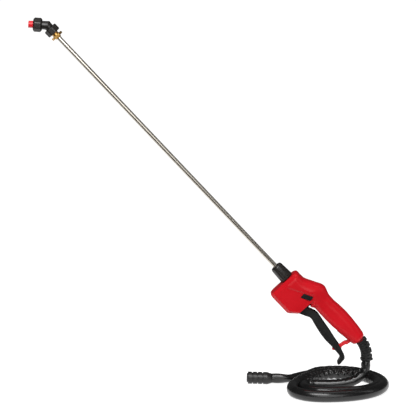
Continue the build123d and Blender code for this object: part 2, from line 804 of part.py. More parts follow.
with BuildPart() as latch_hook:
    with BuildSketch(WAND):
        with BuildLine():
            Polyline(
                (LATCH_U - LATCH_EYE_R, LATCH_V),
                (158.0, 1.0),
                (155.8, -3.0),
                (154.6, -12.5),
                (151.6, -23.5),
                (149.7, -25.7),
                (150.4, -28.4),
                (152.4, -29.3),
                (155.4, -27.6),
                (157.6, -18.5),
                (160.6, -15.6),
                (160.6, -14.4),
                (158.4, -13.9),
                (160.2, -5.0),
                (162.0, -3.4),
                (162.4, 0.5),
                (LATCH_U + LATCH_EYE_R, LATCH_V),
                close=True,
            )
        make_face()
        with Locations((LATCH_U, LATCH_V)):
            Circle(LATCH_EYE_R)
            Circle(LATCH_PIN_R + RUN, mode=Mode.SUBTRACT)
    extrude(amount=LATCH_HALF, both=True)
keep(latch_hook, "latch_hook")

with BuildPart() as latch_pin:
    with BuildSketch(WAND):
        with Locations((LATCH_U, LATCH_V)):
            Circle(LATCH_PIN_R)
    extrude(amount=8.0, both=True)
keep(latch_pin, "latch_pin")


def button_outline(grow=0.0):
    """Rounded parallelogram of the button, grown by a margin."""
    c = math.cos(math.radians(BUTTON_TURN))
    s = math.sin(math.radians(BUTTON_TURN))
    a = BUTTON_LEN / 2 + grow
    b = BUTTON_WIDTH / 2 + grow
    lean = 1.6
    corners = [(-a - lean, -b), (a - lean, -b), (a + lean, b), (-a + lean, b)]
    Polygon(*[(BUTTON_U + x * c - y * s, BUTTON_V + x * s + y * c) for x, y in corners],
            align=None)


BUTTON_Y = -(HEAD_HALF + BUTTON_PROUD)
BUTTON_FLANGE_Y = -(HEAD_HALF - WALL - GAP)
GUIDE_Y = BUTTON_FLANGE_Y + 1.2 + 2.1 + BUTTON_TRAVEL + 0.2
with BuildPart() as lock_button:
    with BuildSketch(side(BUTTON_Y)) as button_face:
        button_outline()
        fillet(button_face.vertices(), radius=2.2)
    extrude(amount=BUTTON_Y - BUTTON_FLANGE_Y - 0.2)
    with BuildSketch(side(BUTTON_FLANGE_Y)) as button_flange:
        button_outline(grow=1.0)
        fillet(button_flange.vertices(), radius=2.6)
    extrude(amount=-1.2)
    with BuildSketch(side(BUTTON_FLANGE_Y)):
        with Locations((BUTTON_U, BUTTON_V)):
            Circle(2.0)
    extrude(amount=-3.3)
keep(lock_button, "lock_button")

with BuildPart() as button_spring:
    with BuildSketch(side(BUTTON_FLANGE_Y + 1.2 + RUN)):
        with Locations((BUTTON_U, BUTTON_V)):
            Circle(3.5)
            Circle(2.5, mode=Mode.SUBTRACT)
    extrude(amount=-(GUIDE_Y - BUTTON_FLANGE_Y - 1.2 - 2 * RUN))
keep(button_spring, "button_spring")

with BuildPart() as button_guide:
    with BuildSketch(side(GUIDE_Y)):
        with Locations((BUTTON_U - 1.0, BUTTON_V)):
            Rectangle(17.0, 9.0)
    extrude(amount=GUIDE_Y + NOSE_R + FIT)
keep(button_guide, "button_guide")

# ---------------------------------------------------------------- housing shells
HEAD_OUTLINE = [
    (HEAD_FRONT, -39.4), (HEAD_FRONT, 16.7), (4.5, 20.6), (22.0, 20.8), (33.0, 27.3),
    (46.0, 34.6), (53.0, HEAD_TOP), (61.0, HEAD_TOP - 0.1), (68.0, 36.0), (70.0, 34.5),
    (70.0, -2.3), (65.3, -3.7), (HEAD_REAR, -2.4), (HEAD_REAR, -27.6), (48.7, -39.6),
    (44.6, HEAD_BOTTOM), (3.0, HEAD_BOTTOM),
]
# stations of the grip: u, front v, back v, half width, corner radius
GRIP_STATIONS = [
    (62.0, -2.4, 38.0, 17.5, 13.0),
    (76.0, -1.2, 33.8, 16.8, 13.5),
    (88.0, -1.8, 33.2, GRIP_HALF, 13.5),
    (104.0, -2.0, 35.7, GRIP_HALF, 13.5),
    (127.0, -0.8, 35.7, GRIP_HALF, 13.5),
    (150.0, 2.4, 33.9, 16.0, 13.0),
    (165.0, 3.8, 32.2, 15.2, 12.5),
    (GRIP_END, 6.6, 29.6, 13.2, 11.0),
]


def head_block(inset):
    """Head with its chamfer bands, shrunk by an inset on every face."""
    with BuildPart() as block:
        with BuildSketch(WAND) as face:
            with BuildLine():
                Polyline(*HEAD_OUTLINE, close=True)
            make_face()
            if inset:
                offset(amount=-inset, kind=Kind.INTERSECTION)
        extrude(amount=HEAD_HALF - inset, both=True)
        low = HEAD_BOTTOM + inset
        half = HEAD_HALF - inset
        top = HEAD_TOP + 4 - inset
        with BuildSketch(across(80.0)):
            with BuildLine():
                Polyline(
                    (-half + HEAD_BAND, low),
                    (half - HEAD_BAND, low),
                    (half, low + HEAD_BAND),
                    (half, 16.0),
                    (half - 9.0, top),
                    (-half + 9.0, top),
                    (-half, 16.0),
                    (-half, low + HEAD_BAND),
                    close=True,
                )
            make_face()
        extrude(amount=100.0, mode=Mode.INTERSECT)
        front = HEAD_FRONT + inset
        with BuildSketch(level(-60.0)):
            with BuildLine():
                Polyline(
                    (front, -half + HEAD_BAND),
                    (front + HEAD_BAND, -half),
                    (60.0 - inset, -half),
                    (72.0, -half + 7),
                    (72.0, half - 7),
                    (60.0 - inset, half),
                    (front + HEAD_BAND, half),
                    (front, half - HEAD_BAND),
                    close=True,
                )
            make_face()
        extrude(amount=120.0, mode=Mode.INTERSECT)
    return block.part


def grip_block(inset, u_in, u_out):
    """Grip lofted through its stations, shrunk by an inset."""
    with BuildPart() as block:
        for u, front, back, half, corner in GRIP_STATIONS:
            u = min(max(u, u_in), u_out)
            low = front + inset if inset == 0 else front + GRIP_FRONT_WALL
            high = back - inset
            with BuildSketch(across(u)):
                with Locations((0, (low + high) / 2)):
                    round_r = min(corner - inset, 0.46 * (high - low))
                    RectangleRounded(2 * (half - inset), high - low, round_r)
        loft()
    return block.part


HEAD_OUT = head_block(0.0)
HEAD_IN = head_block(WALL)
GRIP_OUT = grip_block(0.0, 0.0, 999.0)
GRIP_IN = grip_block(WALL, 0.0, GRIP_END - WALL)


def housing(sign, name):
    """One half of the housing: sign -1 is the left half, +1 the right half."""
    inner = sign * (HEAD_HALF - WALL)
    reach = sign * 30.0
    with BuildPart() as shell:
        add(HEAD_OUT)
        add(GRIP_OUT)
        add(HEAD_IN, mode=Mode.SUBTRACT)
        add(GRIP_IN, mode=Mode.SUBTRACT)
        # passage from the head to the grip
        with BuildSketch(across(66.0, 17.5)):
            Rectangle(24.0, 27.0)
        extrude(amount=12.0, mode=Mode.SUBTRACT)
        # saddles that hold the valve
        for u in (10.0, 28.0):
            with BuildSketch(across(u + 2.0)):
                Rectangle(2 * (HEAD_HALF - WALL) + 0.4, 22.0)
                Circle(NOSE_R + FIT, mode=Mode.SUBTRACT)
            extrude(amount=2.0)
        # screw bosses, pivot bosses
        for u, v in SCREWS:
            with BuildSketch(WAND):
                with Locations((u, v)):
                    Circle(BOSS_R)
            wall_y = HEAD_HALF - 1.0 if u < 60 else GRIP_HALF - 4.5
            extrude(amount=wall_y, both=True)
        for y0, y1 in ((-HEAD_HALF + 1, -LEVER_HALF - GAP), (LEVER_HALF + GAP, HEAD_HALF - 1)):
            with BuildSketch(side(y1)):
                with Locations((PIVOT_U, PIVOT_V)):
                    Circle(4.6)
            extrude(amount=y1 - y0)
        for y0, y1 in ((-14.0, -LATCH_HALF - GAP), (LATCH_HALF + GAP, 14.0)):
            with BuildSketch(side(y1)):
                with Locations((LATCH_U, LATCH_V)):
                    Circle(3.6)
            extrude(amount=y1 - y0)
        # holes: valve nose, plunger, hose neck, lever slot, latch slot, pins
        with BuildSketch(across(20.0)):
            Circle(NOSE_R + FIT)
        extrude(amount=30.0, mode=Mode.SUBTRACT)
        with BuildSketch(level(-8.0, CHAMBER_U)):
            Circle(BOOT_R + 0.4)
        extrude(amount=12.0, mode=Mode.SUBTRACT)
        with BuildSketch(level(CHAMBER_V0 - FIT, CHAMBER_U)):
            Circle(CHAMBER_R + FIT)
        extrude(amount=CHAMBER_V1 + 3.0 - CHAMBER_V0, mode=Mode.SUBTRACT)
        with BuildSketch(across(GRIP_END - WALL, HOSE_V)):
            Circle(RELIEF_FLANGE + FIT)
        extrude(amount=4.0, mode=Mode.SUBTRACT)
        with BuildSketch(across(GRIP_END + 1, HOSE_V)):
            Circle(RELIEF_NECK + FIT)
        extrude(amount=WALL + 2.0, mode=Mode.SUBTRACT)
        with BuildSketch(WAND):
            with BuildLine():
                Polyline((54, -6.2), (64, -6.2), (64, -30.4), (54, -34.0), close=True)
            make_face()
        extrude(amount=LEVER_HALF + 0.6, both=True, mode=Mode.SUBTRACT)
        with BuildSketch(WAND):
            with BuildLine():
                Polyline((71.0, -9.0), (71.0, 0.6), (74.0, 2.8), (132.0, 2.8), (137.0, -9.0),
                         close=True)
            make_face()
        extrude(amount=LEVER_HALF + 0.6, both=True, mode=Mode.SUBTRACT)
        with BuildSketch(WAND):
            with BuildLine():
                Polyline((153.0, -4.0), (153.0, 3.0), (156.5, 12.4), (166.6, 12.4), (166.6, -4.0),
                         close=True)
            make_face()
        extrude(amount=LATCH_HALF + GAP, both=True, mode=Mode.SUBTRACT)
        with BuildSketch(WAND):
            with Locations((PIVOT_U, PIVOT_V)):
                Circle(PIVOT_R + FIT)
        extrude(amount=HEAD_HALF - WALL - 2.0 + FIT, both=True, mode=Mode.SUBTRACT)
        with BuildSketch(WAND):
            with Locations((LATCH_U, LATCH_V)):
                Circle(LATCH_PIN_R + FIT)
        extrude(amount=8.0 + FIT, both=True, mode=Mode.SUBTRACT)
        if sign < 0:
            with BuildSketch(side(-HEAD_HALF - 2)) as window:
                button_outline(grow=GAP)
                fillet(window.vertices(), radius=2.4)
            extrude(amount=-(WALL + 4), mode=Mode.SUBTRACT)
            with BuildSketch(WAND):
                with Locations(*SCREWS):
                    Circle(SCREW_R + FIT)
            extrude(amount=11.0, mode=Mode.SUBTRACT)
        else:
            with BuildSketch(WAND):
                with Locations(*SCREWS):
                    Circle(SCREW_R + FIT)
            extrude(amount=-30.0, mode=Mode.SUBTRACT)
            with BuildSketch(side(SCREW_HEAD_Y)):
                with Locations(*SCREWS):
                    Circle(SCREW_HEAD_R + FIT)
            extrude(amount=-30.0, mode=Mode.SUBTRACT)
        # keep one side of the joint plane
        with BuildSketch(WAND):
            with Locations((80.0, 0.0)):
                Rectangle(400.0, 200.0)
        extrude(amount=-reach, mode=Mode.INTERSECT)
    keep(shell, name)
    return shell.part


LEFT = housing(-1, "housing_left")
RIGHT = housing(1, "housing_right")

with BuildPart() as housing_screws:
    for u, v in SCREWS:
        with BuildSketch(WAND):
            with Locations((u, v)):
                Circle(SCREW_R)
        extrude(amount=10.0)
        with BuildSketch(WAND):
            with Locations((u, v)):
                Circle(SCREW_R)
        extrude(amount=-(SCREW_HEAD_Y + 0.5))
        with BuildSketch(side(SCREW_HEAD_Y)):
            with Locations((u, v)):
                Circle(SCREW_HEAD_R)
        extrude(amount=-2.4)
        with BuildSketch(side(SCREW_HEAD_Y + 2.4)):
            with Locations((u, v)):
                Rectangle(3.4, 0.9)
                Rectangle(0.9, 3.4)
        extrude(amount=1.2, mode=Mode.SUBTRACT)
keep(housing_screws, "housing_screws")
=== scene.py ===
"""Spray wand of a backpack sprayer, standing as it is stored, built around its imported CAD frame."""
import math

import bmesh
import bpy
import numpy as np
from mathutils import Matrix, Vector


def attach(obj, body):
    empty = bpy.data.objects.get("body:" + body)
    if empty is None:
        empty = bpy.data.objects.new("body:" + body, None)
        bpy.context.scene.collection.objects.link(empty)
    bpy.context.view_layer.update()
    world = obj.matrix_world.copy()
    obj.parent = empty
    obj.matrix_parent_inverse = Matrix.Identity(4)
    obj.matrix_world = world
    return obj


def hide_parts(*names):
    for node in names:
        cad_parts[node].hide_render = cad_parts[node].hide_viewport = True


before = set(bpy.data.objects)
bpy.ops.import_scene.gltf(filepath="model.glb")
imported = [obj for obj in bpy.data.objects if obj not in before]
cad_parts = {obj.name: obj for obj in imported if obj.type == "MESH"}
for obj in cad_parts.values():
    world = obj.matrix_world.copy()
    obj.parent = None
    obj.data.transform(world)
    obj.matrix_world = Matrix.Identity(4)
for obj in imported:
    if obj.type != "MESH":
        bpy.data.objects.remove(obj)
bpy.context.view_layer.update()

# ------------------------------------------------------------------ studio
# A white floor in a white room, with a wide soft light in front that the glossy black
# parts mirror, a smaller key above it, and a faint rim and top light.
FLOOR = -0.130
CAMERA_PITCH = math.radians(11)
CAMERA_AIM = Vector((-0.2321, 0.0, 0.2003))
CAMERA_DISTANCE = 4.0
look = Vector((0, math.cos(CAMERA_PITCH), -math.sin(CAMERA_PITCH)))
camera_data = bpy.data.cameras.new("camera")
camera_data.sensor_width = 36.0
camera_data.lens = 196.4
camera_data.clip_end = 50.0
camera = bpy.data.objects.new("camera", camera_data)
camera.location = CAMERA_AIM - look * CAMERA_DISTANCE
camera.rotation_euler = look.to_track_quat("-Z", "Y").to_euler()
bpy.context.scene.collection.objects.link(camera)
bpy.context.scene.camera = camera


class Nodes:
    """Builds one material; expressions on its values add the nodes they need."""

    def __init__(self, name):
        self.mat = bpy.data.materials.new(name)
        self.mat.use_nodes = True
        self.tree = self.mat.node_tree
        self.tree.nodes.clear()
        self.out = self.tree.nodes.new("ShaderNodeOutputMaterial")

    def node(self, kind, settings=None, out=0, **values):
        n = self.tree.nodes.new("ShaderNode" + kind)
        for key, value in (settings or {}).items():
            if key == "stops":
                ramp = n.color_ramp
                while len(ramp.elements) < len(value):
                    ramp.elements.new(0.5)
                for element, (place, colour) in zip(ramp.elements, value):
                    element.position = place
                    element.color = (*colour, 1) if len(colour) == 3 else colour
            else:
                setattr(n, key, value)
        for key, value in values.items():
            key = int(key[1:]) if key[0] == "_" and key[1:].isdigit() else key.replace("_", " ")
            if isinstance(value, Value):
                self.tree.links.new(value.socket, n.inputs[key])
            else:
                if isinstance(value, tuple) and len(value) == 3 and n.inputs[key].type == "RGBA":
                    value = (*value, 1)
                n.inputs[key].default_value = value
        return Value(self, n.outputs[out])

    def place(self, scale=(1, 1, 1), turn=(0, 0, 0)):
        co = self.node("TexCoord", out="Object")
        return self.node("Mapping", Vector=co, Scale=scale, Rotation=turn)

    def noise(self, where, scale, detail=2.0, rough=0.5, distort=0.0):
        return self.node("TexNoise", Vector=where, Scale=scale, Detail=detail, Roughness=rough,
                         Distortion=distort, out="Fac")

    def ramp(self, value, *stops):
        return self.node("ValToRGB", {"stops": stops}, Fac=value)

    def bump(self, height, strength, distance):
        return self.node("Bump", Height=height, Strength=strength, Distance=distance)

    def finish(self, **values):
        shader = self.node("BsdfPrincipled", **values)
        self.tree.links.new(shader.socket, self.out.inputs[0])
        return self.mat


class Value:
    """A socket that takes part in arithmetic."""

    def __init__(self, nodes, socket):
        self.nodes = nodes
        self.socket = socket

    def _math(self, other, operation, swap=False):
        a, b = (other, self) if swap else (self, other)
        return self.nodes.node("Math", {"operation": operation}, _0=a, _1=b)

    def __add__(self, other):
        return self._math(other, "ADD")

    def __radd__(self, other):
        return self._math(other, "ADD")

    def __sub__(self, other):
        return self._math(other, "SUBTRACT")

    def __rsub__(self, other):
        return self._math(other, "SUBTRACT", True)

    def __mul__(self, other):
        return self._math(other, "MULTIPLY")

    def __rmul__(self, other):
        return self._math(other, "MULTIPLY")

    def __pow__(self, other):
        return self._math(other, "POWER")


floor_mesh = bpy.data.meshes.new("sweep")
floor_mesh.from_pydata([(-2, -0.2, FLOOR - 0.0006), (1.6, -0.2, FLOOR - 0.0006),
                        (1.6, 0.8, FLOOR - 0.0006), (-2, 0.8, FLOOR - 0.0006)], [], [(0, 1, 2, 3)])
sweep = bpy.data.objects.new("sweep", floor_mesh)
bpy.context.scene.collection.objects.link(sweep)
paper = Nodes("paper")
floor_mesh.materials.append(paper.finish(Base_Color=(0.62, 0.62, 0.62), Roughness=0.9,
                                         Emission_Color=(1.0, 1.0, 1.0), Emission_Strength=0.86))
world = bpy.data.worlds.new("white room")
world.use_nodes = True
air = world.node_tree
ray = air.nodes.new("ShaderNodeLightPath")
level = air.nodes.new("ShaderNodeMath")
level.operation = "MULTIPLY_ADD"
air.links.new(ray.outputs["Is Camera Ray"], level.inputs[0])
level.inputs[1].default_value = 1.0
level.inputs[2].default_value = 0.07
air.nodes["Background"].inputs["Color"].default_value = (1, 1, 1, 1)
air.links.new(level.outputs[0], air.nodes["Background"].inputs["Strength"])
bpy.context.scene.world = world
# name, place, size in metres, watts
for name, place, size, power in (("key", (-0.45, -1.3, 1.55), (1.1, 0.9), 30),
                                 ("front", (0.1, -3.6, 1.5), (3.4, 2.6), 62),
                                 ("rim", (1.7, -0.3, 1.2), (0.4, 1.6), 3),
                                 ("top", (-0.1, 0.3, 2.2), (2.0, 0.6), 6)):
    lamp = bpy.data.lights.new(name, "AREA")
    lamp.shape = "RECTANGLE"
    lamp.size, lamp.size_y = size
    lamp.energy = power
    light = bpy.data.objects.new(name, lamp)
    light.location = place
    light.rotation_euler = (Vector((-0.1, 0, 0.0)) - Vector(place)).to_track_quat("-Z", "Y").to_euler()
    bpy.context.scene.collection.objects.link(light)
bpy.context.scene.view_settings.view_transform = "Standard"

# ------------------------------------------------------------------ sleeved hose
# A rubber hose pulled through a loose glossy vinyl sleeve, which creases where it bends.
# It drops from the grip, lies in two turns on the floor and ends in a ribbed boot.
mm = 0.001
BOOT_DIR = Vector((-math.cos(math.radians(6)), math.sin(math.radians(6)), 0))
BOOT_START = Vector((-117.5, 33.7, -119.0))
relief_end = Vector((49.67, 0, -76.8))
route = [relief_end, relief_end - Vector((0, 0, 16)), Vector((40, -3, -107)),
         Vector((20, -5, -116.5)), Vector((-6, -5.5, -120)), Vector((-34, -3, -120.4))]
# bearing round the coil and distance from its middle, as the two turns lie
turns = [(176, 52), (190, 60), (207, 67), (225, 68), (245, 62), (268, 57), (292, 60), (316, 68),
         (342, 75), (370, 76), (398, 76), (424, 75), (450, 72), (476, 68), (500, 66), (520, 66),
         (540, 72), (556, 83), (572, 95), (586, 98), (602, 94), (625, 83), (650, 80), (676, 81),
         (700, 84), (720, 86), (742, 85), (765, 86), (790, 89), (812, 89), (835, 84), (855, 80)]
bearing = 176.0
while bearing < 848.0:
    reach = float(np.interp(bearing, [t[0] for t in turns], [t[1] for t in turns]))
    a = math.radians(bearing)
    route.append(Vector((-3 + reach * math.cos(a), -3 + reach * math.sin(a), -120.4)))
    bearing += 19.0
route += [Vector((-48, 64, -120.4)), Vector((-68, 46.5, -120.4)), Vector((-86, 35, -119.8)),
          BOOT_START - BOOT_DIR * 15, BOOT_START]


def line_through(name, points):
    """Points along the smooth curve that the route's points pull on."""
    data = bpy.data.curves.new(name, "CURVE")
    data.dimensions = "3D"
    spline = data.splines.new("NURBS")
    spline.points.add(len(points) - 1)
    for place, p in zip(spline.points, points):
        place.co = (*(p * mm), 1)
    spline.order_u = 3
    spline.use_endpoint_u = True
    spline.resolution_u = 14
    obj = bpy.data.objects.new(name, data)
    bpy.context.scene.collection.objects.link(obj)
    mesh = bpy.data.meshes.new_from_object(obj.evaluated_get(bpy.context.evaluated_depsgraph_get()))
    line = [v.co.copy() for v in mesh.vertices]
    bpy.data.objects.remove(obj)
    bpy.data.meshes.remove(mesh)
    return line


def link(name, mesh, material, smooth=True):
    """A finished piece with its material."""
    obj = bpy.data.objects.new(name, mesh)
    bpy.context.scene.collection.objects.link(obj)
    mesh.materials.clear()
    mesh.materials.append(material)
    mesh.polygons.foreach_set("use_smooth", [smooth] * len(mesh.polygons))
    return obj


path = line_through("hose_line", route)
# even steps along the path, in metres
STEP = 0.0018
steps = [path[0]]
for p in path[1:]:
    gap = (p - steps[-1]).length
    if gap > 0.0016:
        parts = max(1, round(gap / STEP))
        for k in range(1, parts + 1):
            steps.append(steps[-1].lerp(p, 1.0 / (parts - k + 1)))
path = steps
centre = np.array([list(p) for p in path])
count = len(centre)
along = np.concatenate([[0], np.cumsum(np.linalg.norm(np.diff(centre, axis=0), axis=1))])
tangent = np.gradient(centre, axis=0)
tangent /= np.linalg.norm(tangent, axis=1)[:, None]
bend = np.linalg.norm(np.gradient(tangent, axis=0), axis=1) / np.gradient(along)
bend = np.convolve(bend, np.ones(15) / 15, mode="same")
rings = 44
theta = np.linspace(0, 2 * math.pi, rings, endpoint=False)
# frames carried along the path, so the sleeve's folds run lengthwise
side = np.zeros_like(centre)
start = np.cross(tangent[0], (0, 1, 0))
side[0] = start / np.linalg.norm(start)
for i in range(1, count):
    s = side[i - 1] - tangent[i] * np.dot(side[i - 1], tangent[i])
    side[i] = s / np.linalg.norm(s)
up = np.cross(tangent, side)
# which way each bend turns: the sleeve creases on the inside
inward = np.gradient(tangent, axis=0)
inward /= np.maximum(np.linalg.norm(inward, axis=1), 1e-9)[:, None]


def soft(step, seed):
    """Smooth noise along the hose, a new value each step metres."""
    r = np.random.default_rng(seed)
    knots = np.arange(0, along[-1] + 2 * step, step)
    return np.interp(along, knots, r.uniform(-1, 1, len(knots)))


crease = np.clip(bend * 0.05, 0.12, 1.0)
loose = np.clip(0.35 + 0.65 * soft(0.09, 3), 0.1, 1.0)
# the front of the coil is pulled smooth; the back and the drop are crumpled
rough = np.clip((centre[:, 1] + 0.034) / 0.05, 0.0, 1.0) * 0.92 + 0.08
tail = np.clip((along - (along[-1] - 0.095)) / 0.02, 0, 1)
rough *= 1 - 0.8 * tail
full = np.clip((along - 0.12) / 0.05, 0, 1) * (1 - tail)
around = (np.cos(theta)[None, :, None] * side[:, None, :]
          + np.sin(theta)[None, :, None] * up[:, None, :])
radius = np.full((count, rings), 9.3) + (1.35 * full)[:, None]
# the crinkles gather on the side that faces the coil's middle
COIL_MIDDLE = (-0.003, -0.003, -0.12)
toward = COIL_MIDDLE - centre
facing = np.einsum("ikj,ij->ik", around, toward / np.linalg.norm(toward, axis=1)[:, None])
facing = 0.3 + 0.7 * np.clip(facing + 0.25, 0, 1)
# each set of folds: pitch in metres, how far it winds round the hose, depth in millimetres
for fold, (pitch, turn, depth) in enumerate(((0.031, 2.9, 2.4), (0.019, -2.2, 1.5),
                                             (0.0115, 3.4, 0.6), (0.044, 1.4, 1.6))):
    wob = 0.004 * soft(0.03, 20 + fold)
    phase = 2 * math.pi * (along + wob) / pitch
    slant = soft(0.05, 40 + fold) * 2.6
    wave = np.cos(phase[:, None] + turn * np.sin(theta[None, :] + slant[:, None]) + slant[:, None])
    ridge = 1 - np.abs(wave) ** 0.6
    radius -= depth * (rough * (0.35 + 0.65 * crease) * (0.5 + loose))[:, None] * ridge * facing
for fold in range(4):
    lean = 2 * math.pi * fold / 4 + np.cumsum(np.gradient(along) * (11 + 12 * soft(0.06, 60 + fold)))
    pleat = np.cos(theta[None, :] - lean[:, None])
    radius -= ((0.25 + rough) * 1.5 * loose * np.clip(0.5 + soft(0.07, 80 + fold), 0, 1))[:, None] * (
        np.clip(pleat - 0.9, 0, 1) / 0.1)
# towards its end the sleeve is drawn in and twisted
twist = theta[None, :] - (52.0 * along)[:, None]
radius += tail[:, None] * (-0.9 + 1.15 * np.cos(2 * twist) - 0.5 * np.clip(np.cos(twist), 0, 1) ** 6)
into = np.einsum("ij,ikj->ik", inward, around)
squeeze = np.clip(into, 0, 1) * np.clip(bend * 0.055, 0, 1)[:, None]
pinch = 1 - np.abs(np.cos(math.pi * along / 0.0105 + 1.7 * soft(0.04, 9)))[:, None] ** 0.8
radius -= 2.6 * squeeze * pinch * (0.15 + rough)[:, None]
# gathered into the strain relief and the boot
gather = np.clip(1 - along / 0.009, 0, 1) * 1.2
tuck = np.clip(1 - (along[-1] - along) / 0.012, 0, 1) * 0.6
radius -= (gather + tuck)[:, None]
radius = np.clip(radius, 5.2, 11.6)
ring = (centre[:, None, :]
        + radius[:, :, None] * mm * around)
# the full sleeve stands a little above the hose in it and rests flat on the floor
ring[:, :, 2] += (0.0013 * full * (1 - 0.4 * rough))[:, None]
ring[:, :, 2] = np.maximum(ring[:, :, 2], FLOOR + 0.0002)
verts = ring.reshape(-1, 3).tolist()
faces = []
for i in range(count - 1):
    for k in range(rings):
        a, b = i * rings + k, i * rings + (k + 1) % rings
        faces.append((a, b, b + rings, a + rings))
first, last = len(verts), len(verts) + 1
verts += [centre[0].tolist(), centre[-1].tolist()]
for k in range(rings):
    faces.append((first, (k + 1) % rings, k))
    base = (count - 1) * rings
    faces.append((last, base + k, base + (k + 1) % rings))
sleeve_mesh = bpy.data.meshes.new("sleeve")
sleeve_mesh.from_pydata(verts, [], faces)
vinyl = Nodes("vinyl sleeve")
spot = vinyl.place()
fine = vinyl.noise(spot, 420.0, 4.0, 0.6, 0.8)
broad = vinyl.noise(spot, 60.0, 2.0)
film = vinyl.finish(
    Base_Color=vinyl.ramp(broad, (0.3, (0.004, 0.004, 0.004)), (0.8, (0.009, 0.009, 0.009))),
    Roughness=0.19 + 0.12 * vinyl.noise(spot, 110.0, 3.0),
    Normal=vinyl.bump(fine, 0.10, 0.0004), IOR=1.5)
sleeve = link("hose_sleeve", sleeve_mesh, film)
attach(sleeve, "handle")
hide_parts("hose_drop", "hose_coil", "hose_tail")

# ------------------------------------------------------------------ red housing
# Two moulded nylon halves, satin red, met on a fine parting line: a boxy head with
# chamfered edges and a raised shoulder that runs back into an oval grip.
# T is the wand's lean; U runs down along it and V across it, away from the lever
T = math.radians(47)
U = Vector((math.cos(T), 0, -math.sin(T)))
V = Vector((math.sin(T), 0, math.cos(T)))


def at(u, v=0.0, y=0.0):
    """Wand coordinates, in millimetres, to the frame."""
    return (U * (u - 118) + V * (v - 17) + Vector((0, y, 0))) * mm


def settle(obj, angle=32):
    """Outward faces, and edges sharper than the angle kept crisp."""
    work = bmesh.new()
    work.from_mesh(obj.data)
    bmesh.ops.remove_doubles(work, verts=work.verts, dist=1e-6)
    bmesh.ops.recalc_face_normals(work, faces=work.faces)
    work.to_mesh(obj.data)
    work.free()
    obj.data.polygons.foreach_set("use_smooth", [True] * len(obj.data.polygons))
    obj.data.set_sharp_from_angle(angle=math.radians(angle))
    return obj


def slab(name, outline, y0, y1, bevel=0.0, steps=2):
    """Outline in wand coordinates, given a thickness along Y and rounded edges."""
    work = bmesh.new()
    face = work.faces.new([work.verts.new(at(u, v, y0)) for u, v in outline])
    side = bmesh.ops.extrude_face_region(work, geom=[face])
    moved = [g for g in side["geom"] if isinstance(g, bmesh.types.BMVert)]
    bmesh.ops.translate(work, verts=moved, vec=(0, (y1 - y0) * mm, 0))
    bmesh.ops.recalc_face_normals(work, faces=work.faces)
    if bevel:
        rim = [e for e in work.edges if abs(e.verts[0].co.y - e.verts[1].co.y) < 1e-7]
        bmesh.ops.bevel(work, geom=rim, offset=bevel * mm, segments=steps, profile=0.5,
                        affect="EDGES", clamp_overlap=True)
    mesh = bpy.data.meshes.new(name)
    work.to_mesh(mesh)
    work.free()
    obj = bpy.data.objects.new(name, mesh)
    bpy.context.scene.collection.objects.link(obj)
    return obj


def rod(name, start, end, radius, segments=48):
    """Plain round bar between two points, for cutting and joining."""
    axis = end - start
    turn = axis.to_track_quat("Z", "Y").to_matrix().to_4x4()
    work = bmesh.new()
    bmesh.ops.create_cone(work, cap_ends=True, segments=segments, radius1=radius * mm,
                          radius2=radius * mm, depth=axis.length,
                          matrix=Matrix.Translation((start + end) / 2) @ turn)
    mesh = bpy.data.meshes.new(name)
    work.to_mesh(mesh)
    work.free()
    obj = bpy.data.objects.new(name, mesh)
    bpy.context.scene.collection.objects.link(obj)
    return obj


def carve(obj, tools, operation="DIFFERENCE"):
    """Booleans one after another, applied to the mesh."""
    for tool in tools:
        step = obj.modifiers.new("carve", "BOOLEAN")
        step.operation = operation
        step.solver = "EXACT"
        step.object = tool
        bpy.context.view_layer.update()
        done = bpy.data.meshes.new_from_object(
            obj.evaluated_get(bpy.context.evaluated_depsgraph_get()))
        obj.modifiers.clear()
        old, obj.data = obj.data, done
        bpy.data.meshes.remove(old)
        mesh = tool.data
        bpy.data.objects.remove(tool)
        bpy.data.meshes.remove(mesh)
    return obj


